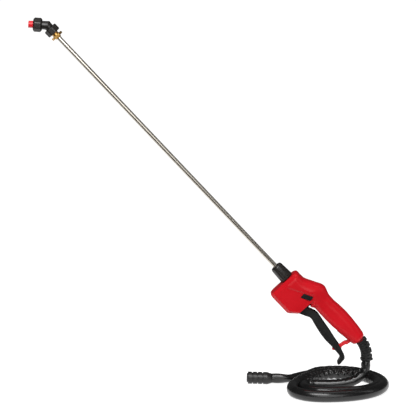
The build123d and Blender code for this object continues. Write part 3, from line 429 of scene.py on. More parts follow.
# u, then front edge, back edge, half width, front corner, back corner, roundness of front
PROFILE = [
    (1.5, -39.4, 16.7, 15.2, 6.0, 8.0, 1.0), (3.0, -40.4, 19.2, 16.7, 6.0, 8.0, 1.0),
    (6.0, -40.6, 20.7, 19.6, 6.0, 9.0, 1.0), (7.5, -40.6, 20.8, 21.0, 6.0, 10.0, 1.0),
    (12.0, -40.6, 20.6, 21.0, 6.0, 11.0, 1.0), (22.0, -40.6, 21.4, 21.0, 6.0, 13.0, 1.0),
    (27.0, -40.6, 23.8, 21.0, 6.0, 15.0, 1.0), (33.0, -40.6, 27.4, 21.0, 6.0, 17.0, 1.0),
    (40.0, -40.6, 31.4, 21.0, 6.0, 18.5, 1.0), (44.6, -40.6, 33.9, 21.0, 6.0, 19.0, 1.0),
    (48.7, -38.2, 36.4, 20.9, 6.0, 19.0, 1.0), (53.0, -34.0, 38.3, 20.6, 6.0, 19.0, 1.0),
    (57.0, -30.2, 38.9, 20.2, 6.0, 18.5, 1.0), (59.6, -27.6, 38.8, 19.8, 5.0, 18.0, 1.0),
    (60.2, -1.0, 38.6, 19.6, 11.0, 18.0, 1.8), (63.6, -0.8, 37.7, 18.8, 12.2, 16.5, 2.0),
    (65.0, -2.8, 37.2, 18.5, 12.4, 16.1, 2.0), (66.6, -3.9, 36.6, 18.1, 12.7, 15.6, 2.0),
    (68.6, -3.6, 35.8, 17.7, 13.0, 15.0, 2.0), (70.2, -2.6, 35.3, 17.4, 13.3, 14.8, 2.0),
    (72.0, -1.6, 34.7, 17.2, 13.5, 14.5, 2.0), (76.0, -1.2, 33.8, 16.8, 13.5, 14.0, 2.0),
    (88.0, -1.8, 33.6, 16.5, 13.5, 14.0, 2.0), (104.0, -2.0, 35.3, 16.5, 14.0, 14.5, 2.0),
    (120.0, -1.4, 35.9, 16.5, 14.0, 15.0, 2.0), (135.0, 0.2, 35.2, 16.3, 14.0, 15.0, 2.0),
    (150.0, 2.4, 33.9, 16.0, 13.5, 14.5, 2.0), (160.0, 3.5, 32.7, 15.5, 13.0, 14.0, 2.0),
    (166.0, 4.3, 31.7, 14.9, 12.5, 13.0, 2.0), (169.4, 5.4, 30.5, 13.9, 11.5, 12.0, 2.0),
    (170.9, 6.7, 29.2, 12.6, 10.5, 11.0, 2.0), (171.5, 8.2, 27.8, 11.0, 9.0, 9.6, 2.0),
]
table = np.array(PROFILE)
stations = []
for a, b in zip(table[:-1], table[1:]):
    parts = max(1, round((b[0] - a[0]) / 1.6)) if b[0] - a[0] > 1 else 1
    for k in range(parts):
        stations.append(a[0] + (b[0] - a[0]) * k / parts)
stations.append(table[-1][0])


def smooth_step(x):
    x = min(max(x, 0.0), 1.0)
    return x * x * (3 - 2 * x)


def section(u, inset, squash, seam):
    """Half section of the housing: (y, v) from the front edge round to the back edge."""
    front, back, half, rf, rb, shape = (np.interp(u, table[:, 0], table[:, k]) for k in range(1, 7))
    if inset:
        deep = inset + (7.6 - inset) * smooth_step((u - 60.0) / 8.0)
        front, back, half = front + deep, back - inset, half - inset
        rf, rb = max(rf - inset, 1.0), max(rb - inset, 1.0)
    rb = min(rb, half - 0.5, (back - front) * 0.48)
    rf = min(rf, half - 0.5, (back - front) * 0.48)
    points = [(half - rf) * k / 5 for k in range(5)]
    points = [(y, front) for y in points]
    for k in range(9):
        f = math.pi / 2 * k / 8
        points.append((half - rf + rf * math.sin(f) ** (2 / shape),
                       front + rf - rf * max(math.cos(f), 0.0) ** (2 / shape)))
    low, high = front + rf, back - rb
    points += [(half, low + (high - low) * k / 18) for k in range(1, 18)]
    for k in range(13):
        f = math.pi / 2 * k / 12
        points.append((half - rb + rb * math.cos(f), back - rb + rb * math.sin(f)))
    points += [((half - rb) * (1 - k / 5), back) for k in range(1, 6)]
    out = []
    for y, v in points:
        if not inset:
            # shoulder above the crease that climbs from the front towards the button
            lift = smooth_step((v - (-8.9 + 0.545 * (u - 9.7))) / 2.2 + 0.5)
            lift *= smooth_step((u - 4.0) / 8.0) * (1 - smooth_step((u - 44.0) / 14.0))
            y += 2.0 * lift * (abs(y) / half) ** 6
        out.append((y * squash, v))
    if not inset and squash == 1.0:
        out[0] = (seam, out[0][1] + 0.35)
        out[-1] = (seam, out[-1][1] - 0.35)
    else:
        out[0] = (seam, out[0][1])
        out[-1] = (seam, out[-1][1])
    return [(max(y, seam), v) for y, v in out]


HEAD_START, HEAD_END, GRIP_START, GRIP_FOOT = 1.5, 59.6, 60.2, 171.5
# where the inner skin starts and ends in the head and in the grip
HEAD_IN, HEAD_OUT, GRIP_IN, GRIP_OUT = 4.0, 57.1, 57.7, 169.0
WALL = 2.5


def shell(name, sign):
    """One half: outer skin, inner skin and the flat rim that joins them."""
    seam = 0.14
    verts, faces, loops = [], [], []
    for inset in (0.0, WALL):
        rows = [(stations[0], k) for k in (0.0, 0.5)] + [(u, 1.0) for u in stations]
        rows += [(stations[-1], k) for k in (0.5, 0.0)]
        base, width = len(verts), None
        for u, squash in rows:
            place = u
            if inset and u <= 59.7:
                place = HEAD_IN + (u - HEAD_START) * (HEAD_OUT - HEAD_IN) / (HEAD_END - HEAD_START)
            elif inset:
                place = GRIP_IN + (u - GRIP_START) * (GRIP_OUT - GRIP_IN) / (GRIP_FOOT - GRIP_START)
            ring = section(u, inset, squash, seam)
            width = len(ring)
            verts += [tuple(at(place, v, sign * y)) for y, v in ring]
        for i in range(len(rows) - 1):
            for k in range(width - 1):
                a = base + i * width + k
                faces.append((a, a + 1, a + 1 + width, a + width))
        last = base + (len(rows) - 1) * width
        loops.append(list(range(base, base + width)) +
                     [base + i * width + width - 1 for i in range(1, len(rows))] +
                     list(range(last + width - 2, last - 1, -1)) +
                     [base + i * width for i in range(len(rows) - 2, 0, -1)])
    outer, inner = loops
    for k in range(len(outer)):
        n = (k + 1) % len(outer)
        faces.append((outer[k], outer[n], inner[n], inner[k]))
    mesh = bpy.data.meshes.new(name)
    mesh.from_pydata(verts, [], faces)
    obj = bpy.data.objects.new(name, mesh)
    bpy.context.scene.collection.objects.link(obj)
    return settle(obj)


# place of each screw, u and v
SCREWS = [(10.5, -31.0), (36.0, -32.0), (14.5, 13.0), (46.5, 26.0), (104.0, 29.0), (150.0, 28.0)]
BUTTON_U, BUTTON_V, BUTTON_TURN = 47.3, 4.9, math.radians(27)


def button_outline(grow, radius):
    """Leaning rounded rectangle of the lock button."""
    a, b, lean = 9.0 + grow, 4.0 + grow, 1.6
    corners = [(-a - lean, -b), (a - lean, -b), (a + lean, b), (-a + lean, b)]
    flat = []
    for k in range(4):
        p, q, r = (np.array(corners[(k + i) % 4], float) for i in (-1, 0, 1))
        p = q + (p - q) / np.linalg.norm(p - q) * radius
        r = q + (r - q) / np.linalg.norm(r - q) * radius
        for t in (0.0, 0.25, 0.5, 0.75, 1.0):
            flat.append((1 - t) ** 2 * p + 2 * t * (1 - t) * q + t ** 2 * r)
    c, s = math.cos(BUTTON_TURN), math.sin(BUTTON_TURN)
    return [(BUTTON_U + x * c - y * s, BUTTON_V + x * s + y * c) for x, y in flat]


red = Nodes("red nylon")
spot = red.place()
grain = red.noise(spot, 2600.0, 2.0)
cloud = red.noise(spot, 18.0, 3.0)
scuff = red.noise(red.place(scale=(1, 1, 3)), 240.0, 5.0, 0.7)
red_skin = red.finish(
    Base_Color=red.ramp(cloud, (0.3, (0.54, 0.003, 0.009)), (0.75, (0.62, 0.004, 0.012))),
    Roughness=0.31 + 0.10 * cloud + 0.12 * scuff ** 3.0,
    Normal=red.bump(grain, 0.10, 0.0002), Specular_IOR_Level=0.26, IOR=1.5)
for side_name, sign in (("left", -1), ("right", 1)):
    half = shell("shell_" + side_name, sign)
    if sign > 0:
        for (u, v), depth in zip(SCREWS, (19.0, 19.0, 17.5, 14.0, 8.6, 8.6)):
            carve(half, [rod("boss", at(u, v, 0.3), at(u, v, depth), 3.9, 32)], "UNION")
        carve(half, [rod("well", at(u, v, 6.0), at(u, v, 30.0), 3.15, 40) for u, v in SCREWS])
    else:
        carve(half, [slab("window", button_outline(0.45, 2.6), -30, -12)])
    carve(half, [
        rod("nose", at(-6), at(9.0), 7.3, 64),
        rod("plunger", at(62.5, -8), at(62.5, 5.0), 3.8, 40),
        rod("neck", at(164.0, 18.5), at(176.0, 18.5), 8.2, 64),
        slab("lever_slot", [(54, -6.2), (64, -6.2), (64, -30.4), (54, -36.0)], -9.7, 9.7),
        slab("lever_bed", [(71.0, -9.0), (71.0, 0.6), (74.0, 2.8), (132.0, 2.8), (137.0, -9.0)],
             -9.7, 9.7),
        slab("latch_slot", [(153.0, -4.0), (153.0, 3.0), (156.5, 12.4), (166.6, 12.4),
                            (166.6, -4.0)], -2.9, 2.9)])
    settle(half, 30)
    half.data.materials.clear()
    half.data.materials.append(red_skin)
    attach(half, "handle")
    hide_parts("housing_" + side_name)

# ------------------------------------------------------------------ lever trigger
# A long moulded lever, semi-gloss black nylon with a fine spark texture: hollow towards
# the grip, forked round its pivot pin, slotted for the latch and hooked at its end.
LEVER_TOP = [
    (49.0, -16.5), (58.5, -8.65), (67.4, -8.65), (73.5, -6.2), (80.0, -3.9), (85.5, -3.1),
    (92.9, -4.2), (108.7, -6.8), (123.8, -8.9), (140.3, -12.2), (158.6, -14.8), (166.0, -18.2),
    (175.0, -20.6), (178.6, -24.0)]
LEVER_HOOK = [(180.0, -36.6), (179.0, -39.4), (175.4, -39.0), (173.6, -34.0), (171.6, -28.4),
              (166.8, -26.4)]
LEVER_BELOW = [
    (149.0, -25.1), (129.0, -25.7), (114.6, -24.2), (98.0, -20.9), (84.2, -17.6), (79.4, -18.0),
    (73.1, -21.6), (59.4, -28.0), (50.0, -27.5)]


def eased(points, rounds=2, hold=0.22):
    """Corners cut a little, more than once, so the outline flows."""
    for _ in range(rounds):
        out = []
        for k, p in enumerate(points):
            q = points[(k + 1) % len(points)]
            out.append((p[0] + (q[0] - p[0]) * hold, p[1] + (q[1] - p[1]) * hold))
            out.append((q[0] + (p[0] - q[0]) * hold, q[1] + (p[1] - q[1]) * hold))
        points = out
    return points


black = Nodes("black nylon")
spot = black.place()
spark = black.noise(spot, 1900.0, 3.0, 0.6)
smear = black.noise(spot, 55.0, 4.0, 0.6)
black_skin = black.finish(
    Base_Color=black.ramp(smear, (0.3, (0.006, 0.006, 0.006)), (0.8, (0.011, 0.011, 0.011))),
    Roughness=0.40 + 0.18 * smear,
    Normal=black.bump(spark, 0.22, 0.0003), Specular_IOR_Level=0.22, IOR=1.5)
eye = [(50 + 5.5 * math.cos(a), -22 + 5.5 * math.sin(a))
       for a in (math.radians(d) for d in range(255, 95, -16))]
lever_top = eased(LEVER_TOP + LEVER_HOOK + LEVER_BELOW + eye, 1, 0.1)
lever = slab("lever", lever_top, -9.0, 9.0, 1.1, 3)
channel = [(167.0, -25.6)] + [(u, v + 2.2) for u, v in LEVER_BELOW[:6]] + [(77.0, 0.0), (167.0, 0.0)]
carve(lever, [
    slab("channel", channel, -6.8, 6.8, 0.8),
    slab("fork", [(40, -40), (56.5, -40), (56.5, -5.65), (40, -5.65)], -4.6, 4.6),
    slab("latch_gap", [(148.0, -32), (164.2, -32), (164.2, -20), (148.0, -20)], -3.5, 3.5),
    rod("eye", at(50, -22, -12), at(50, -22, 12), 2.05, 40)])
settle(lever, 34)
lever.data.materials.clear()
lever.data.materials.append(black_skin)
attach(lever, "trigger")
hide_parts("trigger_lever")

# ------------------------------------------------------------------ latch and button
# The latch is a red moulded hook that swings on its pin and catches the lever; the button
# is a black leaning key in a window of the left half.
gloss_red = Nodes("red acetal")
spot = gloss_red.place()
flow = gloss_red.noise(gloss_red.place(scale=(1, 4, 1)), 90.0, 3.0)
gloss_red_skin = gloss_red.finish(
    Base_Color=gloss_red.ramp(flow, (0.3, (0.66, 0.008, 0.016)), (0.8, (0.76, 0.013, 0.024))),
    Roughness=0.28 + 0.12 * flow,
    Normal=gloss_red.bump(gloss_red.noise(spot, 1500.0, 2.0), 0.08, 0.0002), IOR=1.5)
latch = slab("latch", eased([
    (158.1, 7.5), (157.2, 1.0), (155.0, -3.0), (153.6, -12.5), (151.0, -23.5), (149.3, -25.5),
    (150.4, -28.4), (152.4, -29.3), (155.4, -27.6), (157.6, -18.5), (160.6, -15.6),
    (160.9, -14.2), (159.6, -13.4), (161.0, -5.4), (163.2, -3.6), (163.6, 0.5), (164.9, 7.5),
    (163.9, 9.9), (161.5, 10.9), (159.1, 9.9)], 1, 0.1), -2.5, 2.5, 0.5, 2)
carve(latch, [rod("pin_eye", at(161.5, 7.5, -4), at(161.5, 7.5, 4), 1.55, 32)])
settle(latch, 35).data.materials.clear()
latch.data.materials.append(gloss_red_skin)
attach(latch, "latch")
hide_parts("latch_hook")

button = slab("button", button_outline(0.0, 2.4), -22.4, -19.0, 0.7, 3)
carve(button, [slab("flange", button_outline(1.0, 2.8), -18.2, -17.0, 0.15, 1)], "UNION")
carve(button, [slab("neck", button_outline(0.0, 2.4), -19.2, -18.0)], "UNION")
carve(button, [rod("stem", at(BUTTON_U, BUTTON_V, -17.2), at(BUTTON_U, BUTTON_V, -14.9), 2.0, 32)],
      "UNION")
carve(button, [slab("rib_%d" % k, [
    (BUTTON_U + x * math.cos(BUTTON_TURN) - y * math.sin(BUTTON_TURN),
     BUTTON_V + x * math.sin(BUTTON_TURN) + y * math.cos(BUTTON_TURN))
    for x, y in ((-4.9 + 3.2 * k, -2.6), (-4.0 + 3.2 * k, -2.6), (-3.3 + 3.2 * k, 2.6),
                 (-4.2 + 3.2 * k, 2.6))], -23.0, -22.0) for k in range(4)])
settle(button, 34).data.materials.clear()
button.data.materials.append(black_skin)
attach(button, "button")
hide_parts("lock_button")

# ------------------------------------------------------------------ collar and nozzle end
# Turned and moulded pieces along the lance: a fluted collar nut, a hexagonal brass
# adapter, two eight-sided nuts, a mitred elbow and the red spray tip.


def eased_profile(points, radius):
    """Closed profile with each corner replaced by a small round."""
    out = []
    for k in range(len(points)):
        p, q, r = (np.array(points[(k + i) % len(points)], float) for i in (-1, 0, 1))
        before, after = np.linalg.norm(p - q), np.linalg.norm(r - q)
        cut = min(radius, 0.42 * before, 0.42 * after)
        p, r = q + (p - q) / before * cut, q + (r - q) / after * cut
        for t in (0.0, 0.33, 0.67, 1.0):
            out.append(tuple((1 - t) ** 2 * p + 2 * t * (1 - t) * q + t ** 2 * r))
    return out


def lathe(name, start, axis, profile, radius=0.4, segments=96, shape=None, angle=32):
    """Profile of (along, radius) spun about an axis; shape changes the radius by bearing."""
    axis = axis.normalized()
    across = Vector((0, 1, 0)).cross(axis).normalized()
    points = eased_profile(profile, radius) if radius else profile
    verts, faces, n = [], [], len(points)
    for k in range(segments):
        a = 2 * math.pi * k / segments
        out = across * math.cos(a) + Vector((0, 1, 0)) * math.sin(a)
        for x, r in points:
            verts.append(tuple(start + axis * (x * mm) + out * ((shape(a, x, r) if shape else r) * mm)))
    for k in range(segments):
        for i in range(n):
            a, b = k * n + i, k * n + (i + 1) % n
            c, d = ((k + 1) % segments) * n + (i + 1) % n, ((k + 1) % segments) * n + i
            faces.append((a, b, c, d))
    mesh = bpy.data.meshes.new(name)
    mesh.from_pydata(verts, [], faces)
    obj = bpy.data.objects.new(name, mesh)
    bpy.context.scene.collection.objects.link(obj)
    return settle(obj, angle)


def sided(count, flat, turn=0.0, soft=0.35):
    """Shape of a nut: the radius never passes the flats, whose corners are eased."""
    def shape(a, x, r):
        step = 2 * math.pi / count
        off = (a + turn) % step - step / 2
        limit = flat / math.cos(off)
        edge = flat / math.cos(step / 2) - soft
        return min(r, limit, edge)
    return shape


def fluted(a, x, r):
    """Ten flutes that deepen away from the front of the collar."""
    if r < 8.5:
        return r
    wave = math.cos(10 * a)
    deep = 1.05 * smooth_step((x - 3.5) / 5.0)
    return r - deep * smooth_step((wave + 0.1) / 0.9)


shine = Nodes("glossy black nylon")
spot = shine.place()
haze = shine.noise(spot, 70.0, 4.0, 0.6)
shine_skin = shine.finish(
    Base_Color=shine.ramp(haze, (0.3, (0.0075, 0.006, 0.005)), (0.8, (0.013, 0.011, 0.009))),
    Roughness=0.26 + 0.20 * haze,
    Normal=shine.bump(shine.noise(spot, 1700.0, 2.0), 0.10, 0.0002), IOR=1.5)
collar = lathe("collar", at(-28.9), U, [
    (0.0, 4.4), (11.8, 4.4), (11.8, 7.1), (30.0, 7.1), (30.0, 12.4), (2.6, 10.9), (0.0, 8.6)],
    1.6, 168, fluted, 40)
collar.data.materials.clear()
collar.data.materials.append(shine_skin)
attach(collar, "collar")
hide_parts("collar_nut")

brass = Nodes("brass")
spot = brass.place()
tone = brass.noise(spot, 110.0, 4.0, 0.6)
turned = brass.noise(brass.place(turn=(0, -T, 0)), 900.0, 2.0)
brass_skin = brass.finish(
    Base_Color=brass.ramp(tone, (0.3, (0.50, 0.27, 0.07)), (0.8, (0.70, 0.44, 0.15))),
    Metallic=1.0, Roughness=0.24 + 0.22 * tone,
    Normal=brass.bump(turned, 0.15, 0.0002))
adapter = lathe("adapter", at(-602), U, [
    (0.0, 3.0), (11.9, 3.0), (11.9, 4.02), (18.0, 4.02), (18.0, 5.4), (15.6, 5.4), (15.6, 11.2),
    (11.6, 11.2), (11.6, 6.0), (7.2, 6.0), (7.2, 7.45), (0.0, 7.45)],
    0.35, 144, lambda a, x, r: sided(6, 9.75, 0.0, 0.25)(a, x, r) if r > 8 else r, 34)
adapter.data.materials.clear()
adapter.data.materials.append(brass_skin)
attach(adapter, "lance")
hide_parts("tip_adapter")


def grip_nut(flat):
    """Eight-sided outside, round bore."""
    outside = sided(8, flat, math.pi / 8, 0.3)
    return lambda a, x, r: r if r < 9 else outside(a, x, r)


swivel = lathe("swivel_nut", at(-607), U, [
    (0.0, 5.7), (2.6, 5.7), (2.6, 7.6), (12.0, 7.6), (12.0, 11.2), (10.6, 13.4), (1.6, 13.4),
    (0.0, 11.2)], 0.5, 160, grip_nut(11.8), 34)
BEND = math.radians(43)
S = -U * math.cos(BEND) - V * math.sin(BEND)
cap = lathe("nozzle_nut", at(-613) + S * (11.5 * mm), S, [
    (-2.4, 7.6), (10.8, 7.6), (10.8, 6.25), (13.0, 6.25), (13.0, 9.6), (10.4, 13.0), (0.2, 13.0),
    (-2.4, 9.4)], 0.5, 160, grip_nut(12.0), 34)
for piece, body, node in ((swivel, "elbow_nut", "elbow_nut"), (cap, "nozzle", "nozzle_cap")):
    piece.data.materials.clear()
    piece.data.materials.append(shine_skin)
    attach(piece, body)
    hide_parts(node)

# the elbow is a run of rings: straight, a crisp mitre at the bend, straight again
half_bend = (U * -1 + S).normalized()
joint = at(-613)
rings_along = [(joint + U * (x * mm), -U, r) for x, r in (
    (10.7, 3.0), (10.7, 7.1), (9.1, 7.1), (9.0, 5.5), (5.7, 5.5), (5.6, 7.2), (5.2, 7.5), (4.0, 7.5))]
rings_along += [(joint + U * 1.2 * mm, half_bend * 0.5 - U * 0.5, 7.75),
                (joint, half_bend, 8.0),
                (joint + S * (1.2 * mm), half_bend * 0.5 + S * 0.5, 7.75)]
rings_along += [(joint + S * (x * mm), S, r) for x, r in (
    (4.0, 7.5), (17.6, 7.5), (18.0, 7.1), (18.0, 3.8), (6.0, 3.8))]
verts, faces = [], []
for place, way, r in rings_along:
    way = way.normalized()
    across = Vector((0, 1, 0)).cross(way).normalized()
    tilt = 1.0 / max(0.6, abs(way.dot(S if (place - joint).dot(S) > 0 else -U)))
    for k in range(64):
        a = 2 * math.pi * k / 64
        verts.append(tuple(place + across * (math.cos(a) * r * tilt * mm)
                           + Vector((0, math.sin(a) * r * mm, 0))))
for i in range(len(rings_along) - 1):
    for k in range(64):
        a, b = i * 64 + k, i * 64 + (k + 1) % 64
        faces.append((a, b, b + 64, a + 64))
faces.append(tuple(range(64)))
faces.append(tuple(range((len(rings_along) - 1) * 64, len(rings_along) * 64)))
elbow_mesh = bpy.data.meshes.new("elbow")
elbow_mesh.from_pydata(verts, [], faces)
elbow = bpy.data.objects.new("elbow", elbow_mesh)
bpy.context.scene.collection.objects.link(elbow)
settle(elbow, 26).data.materials.append(shine_skin)
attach(elbow, "elbow")
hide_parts("nozzle_elbow")

tip = lathe("red_tip", at(-613) + S * (20.3 * mm), S, [
    (0.0, 0.9), (12.5, 0.9), (12.5, 6.1), (1.9, 6.1), (1.9, 7.0), (0.0, 7.0)], 0.5, 96)
mouth = at(-613) + S * (32.8 * mm)
slot_way = Vector((0, 1, 0)).cross(S).normalized()
carve(tip, [rod("fan", mouth - slot_way * (9 * mm), mouth + slot_way * (9 * mm), 1.3, 24)])
settle(tip, 34).data.materials.clear()
tip.data.materials.append(gloss_red_skin)
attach(tip, "nozzle")
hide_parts("spray_tip")

# ------------------------------------------------------------------ lance and inner pieces
# The lance is drawn stainless tube with a lengthwise polish. Seals, valve, springs, pins and
# hose parts keep the frame's own shapes: brass, steel, rubber, zinc and moulded plastics.
steel = Nodes("drawn steel")
aligned = steel.place(turn=(0, -T, 0))
drawn = steel.node("Mapping", Vector=aligned, Scale=(5, 500, 500))
streak = steel.noise(drawn, 1.0, 4.0, 0.6)
tint = steel.noise(steel.place(), 9.0, 2.0)
steel_skin = steel.finish(
    Base_Color=steel.ramp(tint, (0.3, (0.50, 0.46, 0.40)), (0.8, (0.58, 0.54, 0.47))),
    Metallic=1.0, Roughness=0.24 + 0.08 * streak)
lance = lathe("lance", at(-590), U, [(0.0, 3.0), (605.0, 3.0), (605.0, 4.0), (0.0, 4.0)], 0.2, 72)
lance.data.materials.clear()
lance.data.materials.append(steel_skin)
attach(lance, "lance")
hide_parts("lance_tube")
zinc = Nodes("zinc plate")
zinc_skin = zinc.finish(
    Base_Color=zinc.ramp(zinc.noise(zinc.place(), 300.0, 3.0), (0.3, (0.25, 0.25, 0.26)),
                         (0.8, (0.42, 0.42, 0.43))),
    Metallic=1.0, Roughness=0.30 + 0.2 * zinc.noise(zinc.place(), 160.0, 3.0))
rubber = Nodes("rubber")
spot = rubber.place()
dust = rubber.noise(spot, 90.0, 5.0, 0.65)
rubber_skin = rubber.finish(
    Base_Color=rubber.ramp(dust, (0.3, (0.006, 0.006, 0.006)), (0.8, (0.013, 0.013, 0.013))),
    Roughness=0.26 + 0.22 * dust,
    Normal=rubber.bump(rubber.noise(spot, 1400.0, 3.0), 0.16, 0.0003), Specular_IOR_Level=0.4)
dark = Nodes("matt black acetal")
dark_skin = dark.finish(
    Base_Color=dark.ramp(dark.noise(dark.place(), 60.0, 3.0), (0.3, (0.010, 0.010, 0.010)),
                         (0.8, (0.020, 0.020, 0.021))),
    Roughness=0.48 + 0.15 * dark.noise(dark.place(), 240.0, 3.0))
grey = Nodes("grey acetal")
grey_skin = grey.finish(
    Base_Color=grey.ramp(grey.noise(grey.place(), 60.0, 3.0), (0.3, (0.08, 0.08, 0.085)),
                         (0.8, (0.13, 0.13, 0.14))),
    Roughness=0.42 + 0.15 * grey.noise(grey.place(), 240.0, 3.0))
white = Nodes("white nylon")
white_skin = white.finish(
    Base_Color=white.ramp(white.noise(white.place(), 60.0, 3.0), (0.3, (0.74, 0.73, 0.70)),
                          (0.8, (0.82, 0.81, 0.79))),
    Roughness=0.42 + 0.12 * white.noise(white.place(), 240.0, 3.0))
for skin, names in (
        (steel_skin, ("valve_stem", "valve_spring", "hose_clamp", "button_spring")),
        (brass_skin, ("lance_ferrule", "hose_barb")),
        (rubber_skin, ("lance_seal", "elbow_seal", "tip_gasket", "stem_seal", "plunger_boot",
                       "inner_hose")),
        (zinc_skin, ("trigger_pin", "latch_pin")),
        (dark_skin, ("end_connector", "button_guide")),
        (grey_skin, ("valve_body", "valve_plug")),
        (white_skin, ("tip_strainer",))):
    for name in names:
        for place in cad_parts[name].material_slots:
            place.material = skin

# ------------------------------------------------------------------ strain relief and end boot
# Moulded rubber: a bent sleeve with shallow grooves, five blocks on the outside of the bend
# and a ledge at its end, and a cylinder of four bands that grips the hose's end fitting.
ARC = 45.0
CENTRE = at(171.5, 18.5) - V * (ARC * mm)
TUCKED_IN, STRAIGHT, GROOVE_PITCH, RELIEF_R = 5.0, 8.0, 4.7, 9.1
reach = ARC * BEND
span = reach + STRAIGHT
runs, sides = 150, 72
verts, faces = [], []
for i in range(runs + 1):
    s = -TUCKED_IN + (span + TUCKED_IN) * i / runs
    a = min(max(s, 0.0), reach) / ARC
    out = V * math.cos(a) + U * math.sin(a)
    way = U * math.cos(a) - V * math.sin(a)
    place = CENTRE + out * (ARC * mm) + way * ((min(s, 0.0) + max(s - reach, 0.0)) * mm)
    # shallow grooves all round, and separate blocks on the outside of the bend
    groove = 1 - smooth_step((abs((s / GROOVE_PITCH) % 1 - 0.5) - 0.10) / 0.10)
    block = max(1 - smooth_step((abs(s - c) - w) / 0.7) for c, w in (
        (4.5, 2.6), (14.0, 3.0), (24.0, 3.0), (33.5, 2.6), (39.2, 1.4)))
    ledge = 1 - smooth_step((abs(s - (span - 3.4)) - 1.6) / 0.7)
    for k in range(sides):
        f = 2 * math.pi * k / sides
        lobe = 1 - smooth_step((abs((f + math.pi) % (2 * math.pi) - math.pi) - 0.36) / 0.12)
        r = RELIEF_R - 1.1 * groove * (1 - lobe) + 2.3 * block * lobe + 1.2 * ledge
        if s < 0.3:
            r = 7.75
        if i == runs:
            r = 7.2
        verts.append(tuple(place + out * (math.cos(f) * r * mm) + Vector((0, math.sin(f) * r * mm, 0))))
for i in range(runs):
    for k in range(sides):
        a, b = i * sides + k, i * sides + (k + 1) % sides
        faces.append((a, b, b + sides, a + sides))
faces.append(tuple(range(sides)))
faces.append(tuple(range(runs * sides, (runs + 1) * sides)))
relief_mesh = bpy.data.meshes.new("relief")
relief_mesh.from_pydata(verts, [], faces)
relief = bpy.data.objects.new("relief", relief_mesh)
bpy.context.scene.collection.objects.link(relief)
settle(relief, 40).data.materials.append(rubber_skin)
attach(relief, "handle")
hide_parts("strain_relief")

bands = [(0.0, 0.6), (8.0, 0.6), (8.0, 8.3), (43.0, 8.3)]
outer = []
for k in range(4):
    x0 = 8.0 + k * (35.0 - 7.6) / 3
    outer += [(x0, 11.0), (x0 + 7.3, 11.0)] + ([(x0 + 7.3, 9.2), (x0 + 9.133, 9.2)] if k < 3 else [])
boot = lathe("end_grip", BOOT_START * mm, BOOT_DIR, bands + [(43.0, 9.2), (42.7, 9.2)] + outer[::-1] +
             [(0.0, 8.6)], 0.25, 96, None, 34)
boot.data.materials.clear()
boot.data.materials.append(rubber_skin)
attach(boot, "handle")
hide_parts("end_boot")

# ------------------------------------------------------------------ housing screws
# Six zinc-plated pan-head screws with a six-lobed drive, one instanced on each boss.
shank = lathe("screw_shape", Vector((0, 0, 0)), Vector((0, 1, 0.0001)), [
    (-9.9, 0.0005), (-8.8, 1.2), (6.0, 1.45), (6.0, 2.95), (7.2, 2.95), (8.3, 2.2), (8.4, 0.0005)],
    0.25, 48)
shank.data.materials.clear()
carve(shank, [rod("drive_%d" % k, Vector((1.05 * math.cos(k * math.pi / 3) * mm, 7.3 * mm,
                                         1.05 * math.sin(k * math.pi / 3) * mm)),
                  Vector((1.05 * math.cos(k * math.pi / 3) * mm, 9.5 * mm,
                          1.05 * math.sin(k * math.pi / 3) * mm)), 0.42, 12) for k in range(6)]
      + [rod("drive_hub", Vector((0, 7.3 * mm, 0)), Vector((0, 9.5 * mm, 0)), 1.0, 24)])
settle(shank, 34)
tree = bpy.data.node_groups.new("screws on bosses", "GeometryNodeTree")
tree.interface.new_socket("Bosses", in_out="INPUT", socket_type="NodeSocketGeometry")
tree.interface.new_socket("Screw", in_out="INPUT", socket_type="NodeSocketObject")
tree.interface.new_socket("Spin", in_out="INPUT", socket_type="NodeSocketFloat")
tree.interface.new_socket("Finish", in_out="INPUT", socket_type="NodeSocketMaterial")
tree.interface.new_socket("Screws", in_out="OUTPUT", socket_type="NodeSocketGeometry")
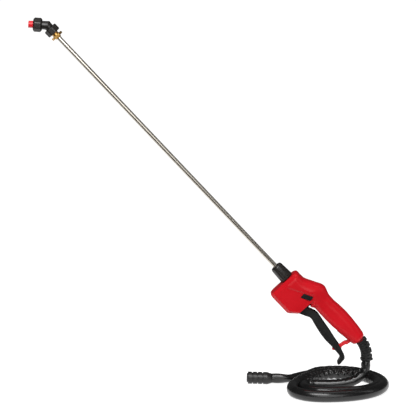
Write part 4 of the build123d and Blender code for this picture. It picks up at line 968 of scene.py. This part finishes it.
g = {kind: tree.nodes.new(kind) for kind in (
    "NodeGroupInput", "NodeGroupOutput", "GeometryNodeObjectInfo", "GeometryNodeInstanceOnPoints",
    "GeometryNodeRealizeInstances", "GeometryNodeSetMaterial", "GeometryNodeInputIndex",
    "ShaderNodeMath", "FunctionNodeAxisAngleToRotation")}
start = g["NodeGroupInput"]
g["ShaderNodeMath"].operation = "MULTIPLY"
g["FunctionNodeAxisAngleToRotation"].inputs["Axis"].default_value = (0, 1, 0)
for source, out, target, into in (
        (start, "Bosses", "GeometryNodeInstanceOnPoints", "Points"),
        (start, "Screw", "GeometryNodeObjectInfo", "Object"),
        (start, "Spin", "ShaderNodeMath", 1),
        (g["GeometryNodeInputIndex"], "Index", "ShaderNodeMath", 0),
        (g["ShaderNodeMath"], 0, "FunctionNodeAxisAngleToRotation", "Angle"),
        (g["FunctionNodeAxisAngleToRotation"], 0, "GeometryNodeInstanceOnPoints", "Rotation"),
        (g["GeometryNodeObjectInfo"], "Geometry", "GeometryNodeInstanceOnPoints", "Instance"),
        (g["GeometryNodeInstanceOnPoints"], 0, "GeometryNodeRealizeInstances", 0),
        (g["GeometryNodeRealizeInstances"], 0, "GeometryNodeSetMaterial", 0),
        (start, "Finish", "GeometryNodeSetMaterial", "Material"),
        (g["GeometryNodeSetMaterial"], 0, "NodeGroupOutput", 0)):
    tree.links.new(source.outputs[out], g[target].inputs[into])
points = bpy.data.meshes.new("bosses")
points.from_pydata([tuple(at(u, v)) for u, v in SCREWS], [], [])
carrier = bpy.data.objects.new("bosses", points)
bpy.context.scene.collection.objects.link(carrier)
spread = carrier.modifiers.new("screws", "NODES")
spread.node_group = tree
sockets = {s.name: s.identifier for s in tree.interface.items_tree if s.in_out == "INPUT"}
spread[sockets["Screw"]] = shank
spread[sockets["Spin"]] = 0.9
spread[sockets["Finish"]] = zinc_skin
bpy.context.view_layer.update()
mesh = bpy.data.meshes.new_from_object(carrier.evaluated_get(bpy.context.evaluated_depsgraph_get()))
bpy.data.objects.remove(carrier)
bpy.data.objects.remove(shank)
screws = bpy.data.objects.new("screw_set", mesh)
bpy.context.scene.collection.objects.link(screws)
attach(screws, "handle")
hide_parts("housing_screws")
